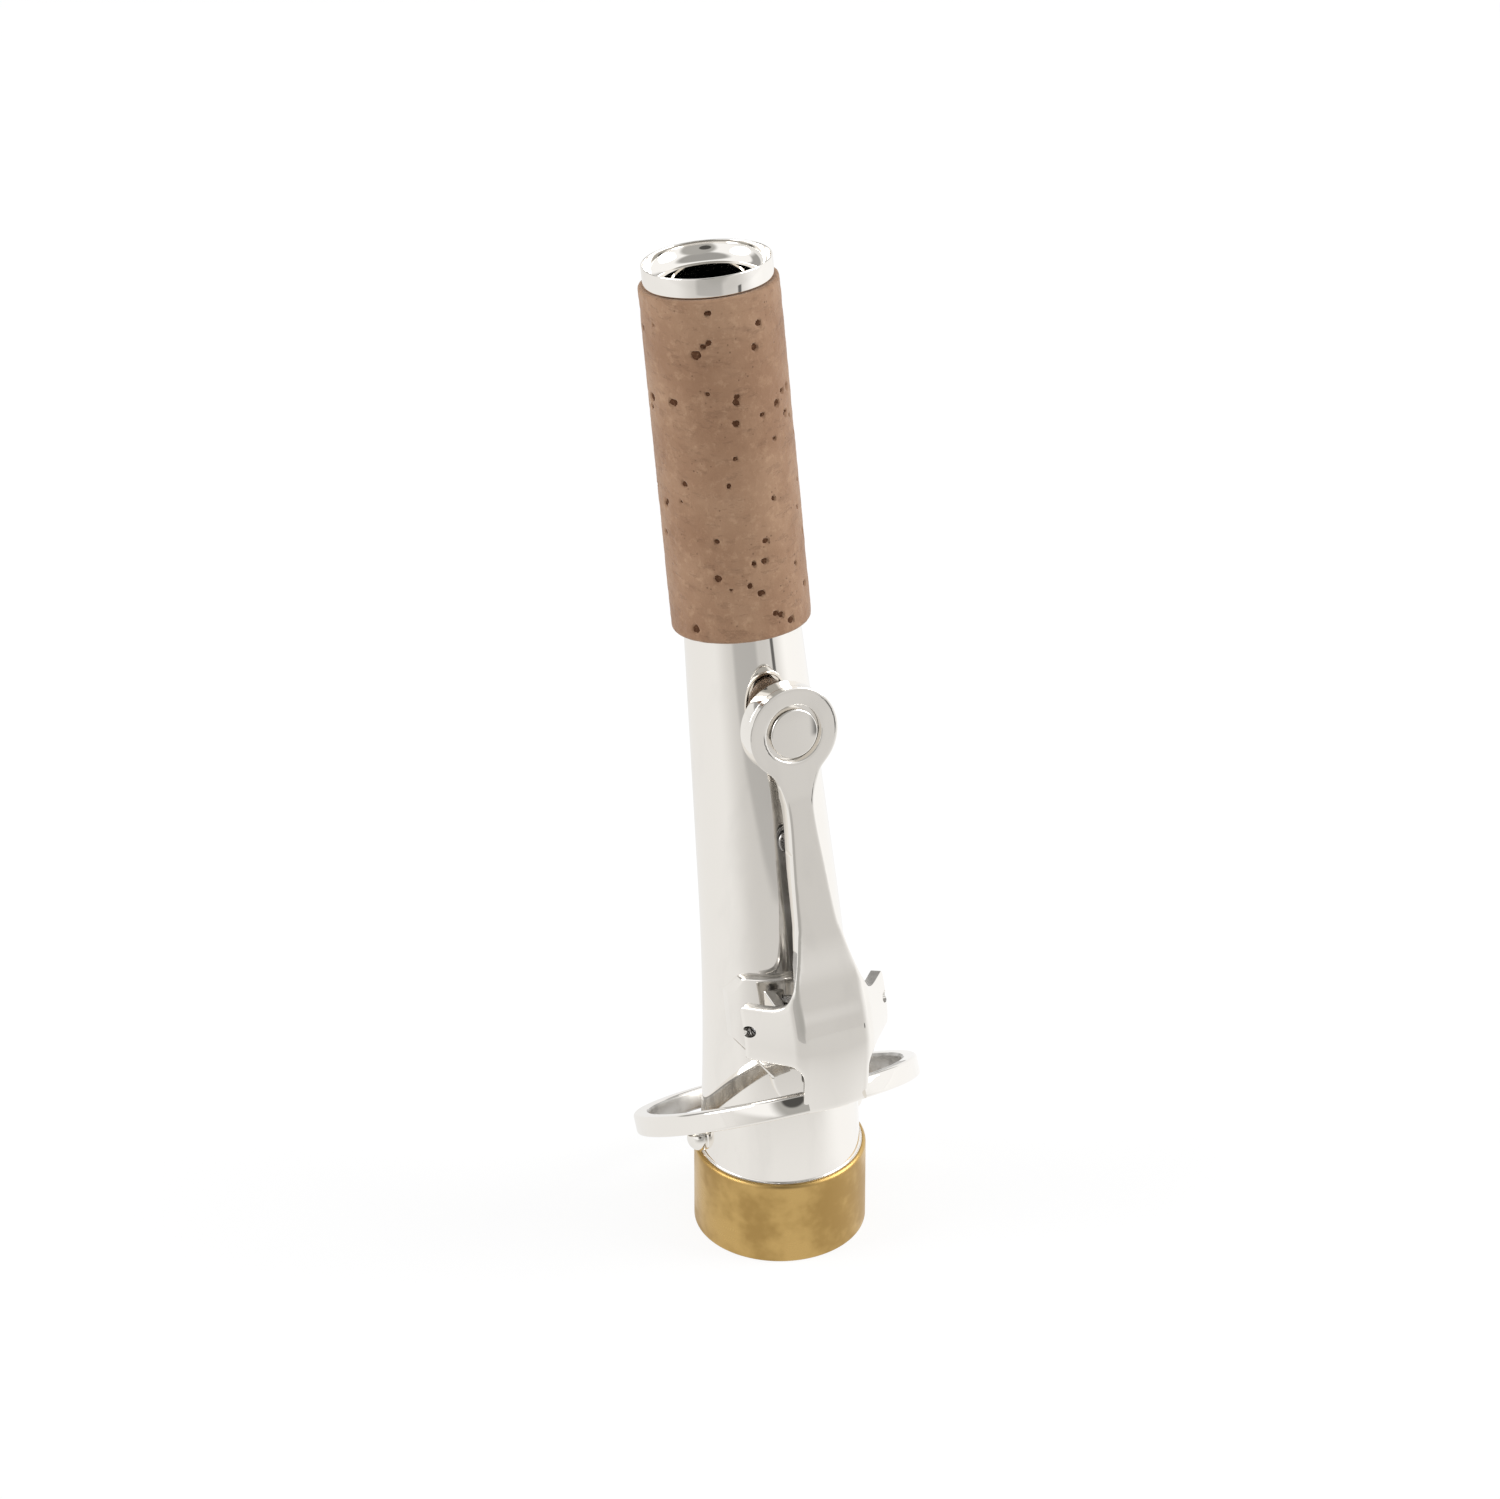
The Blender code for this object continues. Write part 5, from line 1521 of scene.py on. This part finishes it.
class NECK_OT_stage(Operator):
    """White floor, a room to reflect, soft lights and the camera at the photograph's angle"""

    bl_idname = "neck.stage"
    bl_label = "Stage"

    def execute(self, context):
        settings = context.scene.studio_settings
        self.floor(settings)
        self.room(context.scene, settings)
        self.lamps(context.scene, settings)
        self.camera(context.scene, settings)
        context.scene.view_settings.view_transform = "Standard"
        return {"FINISHED"}

    def rays(self, tree):
        """1 for rays from the camera or through glass, and 1 for rays from polished metal."""
        path = tree.nodes.new("ShaderNodeLightPath")
        names = ("Is Camera Ray", "Is Transmission Ray", "Is Glossy Ray")
        camera, glass, glossy = (Value(tree, path.outputs[name]) for name in names)
        return camera.maths("MINIMUM", camera + glass, 1.0), glossy

    def surround(self, way, settings, on_floor):
        """What metal sees low down: grey in front, white at the right, pale elsewhere, with dark lines."""
        flat = way.node("ShaderNodeVectorMath", {"operation": "MULTIPLY"}, {0: way, 1: (1.0, 1.0, 0.0)})
        level = way.node("ShaderNodeVectorMath", {"operation": "NORMALIZE"}, {0: flat})
        split = way.tree.nodes.new("ShaderNodeSeparateXYZ")
        way.tree.links.new(level.socket, split.inputs[0])
        right, back, _ = (Value(way.tree, socket) for socket in split.outputs)
        side = blend(ramp(right, *WHITE_SIDE), settings.pale, settings.white)
        front = ramp(right * FRONT_TURN - back, *GREY_FRONT)
        turned_by = right * cos(settings.flag_azimuth) + back * sin(settings.flag_azimuth)
        flag = ramp(turned_by, *FLAG_LEFT) * ramp(turned_by, *FLAG_RIGHT) * ramp(back, *FLAG_FRONT)
        facing = right * sin(settings.gap_azimuth) - back * cos(settings.gap_azimuth)
        gap = ramp(facing, *GAP_SIDES) * GAP_DEPTH
        if not on_floor:
            return blend(gap, blend(front, side, settings.room), settings.dark)
        distance = way.node("ShaderNodeVectorMath", {"operation": "LENGTH"}, {0: flat}, "Value")
        front = front * ramp(distance, *FRONT_NEAR)
        flag = flag * ramp(distance, *FLAG_NEAR) * ramp(distance, *FLAG_FAR)
        gap = gap * ramp(distance, *GAP_NEAR)
        return blend(flag.maths("MAXIMUM", flag, gap), blend(front, side, settings.room), settings.dark)

    def floor(self, settings):
        """White floor that keeps a faint shadow, and that metal sees grey in front."""
        shape = bmesh.new()
        bmesh.ops.create_circle(shape, cap_ends=True, segments=FLOOR_SEGMENTS, radius=FLOOR_RADIUS)
        floor = new_object("floor", shape)
        material = bpy.data.materials.new("floor")
        material.use_nodes = True
        tree = material.node_tree
        shader = tree.nodes["Principled BSDF"]
        shader.inputs["Base Color"].default_value = (*settings.white, 1.0)
        shader.inputs["Roughness"].default_value = 0.9
        shader.inputs["Specular IOR Level"].default_value = 0.0
        value = Value(tree)
        seen, glossy = self.rays(tree)
        place = value.node("ShaderNodeTexCoord", None, None, "Object")
        tone = blend(glossy, settings.white, self.surround(place, settings, True))
        glow = value.node("ShaderNodeEmission", None, {"Color": tone, "Strength": 1.0})
        lit = Value(tree, shader.outputs[0])
        share = seen * FLOOR_SEEN_WHITE + glossy * FLOOR_MIRRORED
        mixed = value.node("ShaderNodeMixShader", None, {0: share, 1: lit, 2: glow})
        tree.links.new(mixed.socket, tree.nodes["Material Output"].inputs["Surface"])
        floor.data.materials.append(material)

    def room(self, scene, settings):
        """Soft even room, which metal sees grey high behind, overhead and round the camera."""
        world = bpy.data.worlds.new("studio")
        world.use_nodes = True
        scene.world = world
        tree = world.node_tree
        value = Value(tree)
        way = value.node("ShaderNodeTexCoord", None, None, "Generated")
        split = tree.nodes.new("ShaderNodeSeparateXYZ")
        tree.links.new(way.socket, split.inputs[0])
        _, back, up = (Value(tree, socket) for socket in split.outputs)
        shade = blend(ramp(up, *HORIZON), self.surround(way, settings, False), settings.white)
        strip = ramp(back, *STRIP_BACK) * ramp(up, *STRIP_LOW) * ramp(up, *STRIP_HIGH)
        shade = blend(strip, shade, settings.ceiling)
        shade = blend(ramp(up, *OVERHEAD), shade, settings.ceiling)
        dot = {"operation": "DOT_PRODUCT"}
        for direction, cone, tone in (
            (settings.shadow_side, SHADOW_CONE, settings.shadow),
            (settings.view_side, CAMERA_CONE, settings.dark),
        ):
            facing = value.node("ShaderNodeVectorMath", dot, {0: way, 1: direction}, "Value")
            shade = blend(ramp(facing, *cone), shade, tone)
        plain = (*settings.white, 1.0)
        light = value.node("ShaderNodeBackground", None, {"Color": plain, "Strength": settings.ambient})
        mirror = value.node("ShaderNodeBackground", None, {"Color": shade, "Strength": 1.0})
        white = value.node("ShaderNodeBackground", None, {"Color": plain, "Strength": 1.0})
        seen, glossy = self.rays(tree)
        mixed = value.node("ShaderNodeMixShader", None, {0: glossy, 1: light, 2: mirror})
        mixed = value.node("ShaderNodeMixShader", None, {0: seen, 1: mixed, 2: white})
        tree.links.new(mixed.socket, tree.nodes["World Output"].inputs["Surface"])

    def lamps(self, scene, settings):
        """Large soft lamps at the left and right of the object."""
        for name, azimuth, power in (
            ("left_lamp", settings.left_azimuth, settings.left_power),
            ("right_lamp", settings.right_azimuth, settings.right_power),
        ):
            lamp = bpy.data.lights.new(name, "AREA")
            lamp.shape = "DISK"
            lamp.size = settings.lamp_size
            lamp.energy = power
            item = bpy.data.objects.new(name, lamp)
            front = Vector((0, -settings.lamp_distance, settings.lamp_height))
            out = Matrix.Rotation(azimuth, 3, "Z") @ front
            aim = out.to_track_quat("Z", "Y").to_matrix().to_4x4()
            item.matrix_world = Matrix.Translation(out) @ aim
            scene.collection.objects.link(item)

    def camera(self, scene, settings):
        """Long lens at the photograph's angle."""
        data = bpy.data.cameras.new("camera")
        data.lens = settings.focal_length
        data.sensor_width = 36.0
        data.clip_start = 0.05
        camera = bpy.data.objects.new("camera", data)
        camera.rotation_euler = (pi / 2 - settings.view_elevation, 0, settings.view_azimuth)
        turn = camera.rotation_euler.to_matrix()
        camera.location = Vector(settings.view_target) + turn @ Vector((0, 0, settings.view_distance))
        scene.collection.objects.link(camera)
        scene.camera = camera


PIECES = (
    NECK_OT_tube,
    NECK_OT_tenon,
    NECK_OT_cork,
    NECK_OT_tip_ring,
    NECK_OT_studs,
    NECK_OT_vent,
    NECK_OT_saddle,
    NECK_OT_rod,
    NECK_OT_arm,
    NECK_OT_cup,
    NECK_OT_pad,
    NECK_OT_bridge,
    NECK_OT_octave_ring,
    NECK_OT_spring,
    NECK_OT_screw,
    NECK_OT_stage,
)
GROUPS = {
    "neck_sizes": NeckSizes,
    "octave_key_sizes": KeySizes,
    "hinge_sizes": HingeSizes,
    "finish_colours": FinishColours,
    "studio_settings": StudioSettings,
}


class NECK_PT_panel(Panel):
    """Lists the pieces in the 3D view's sidebar"""

    bl_idname = "NECK_PT_panel"
    bl_label = "Soprano saxophone neck"
    bl_space_type = "VIEW_3D"
    bl_region_type = "UI"
    bl_category = "Neck"

    def draw(self, context):
        for piece in PIECES:
            self.layout.operator(piece.bl_idname)
        for name, group in GROUPS.items():
            values = getattr(context.scene, name)
            for field in group.__annotations__:
                self.layout.prop(values, field)


def register():
    """Add the sizes, operators and panel to Blender."""
    for name, group in GROUPS.items():
        bpy.utils.register_class(group)
        setattr(bpy.types.Scene, name, PointerProperty(type=group))
    for made in (*PIECES, NECK_PT_panel):
        bpy.utils.register_class(made)


def unregister():
    """Take the sizes, operators and panel out of Blender."""
    for made in (NECK_PT_panel, *reversed(PIECES)):
        bpy.utils.unregister_class(made)
    for name, group in reversed(GROUPS.items()):
        delattr(bpy.types.Scene, name)
        bpy.utils.unregister_class(group)


def main():
    """Build every piece."""
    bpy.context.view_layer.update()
    register()
    for piece in PIECES:
        group, name = piece.bl_idname.split(".")
        getattr(getattr(bpy.ops, group), name)()
    bpy.context.view_layer.update()


if __name__ == "__main__":
    main()
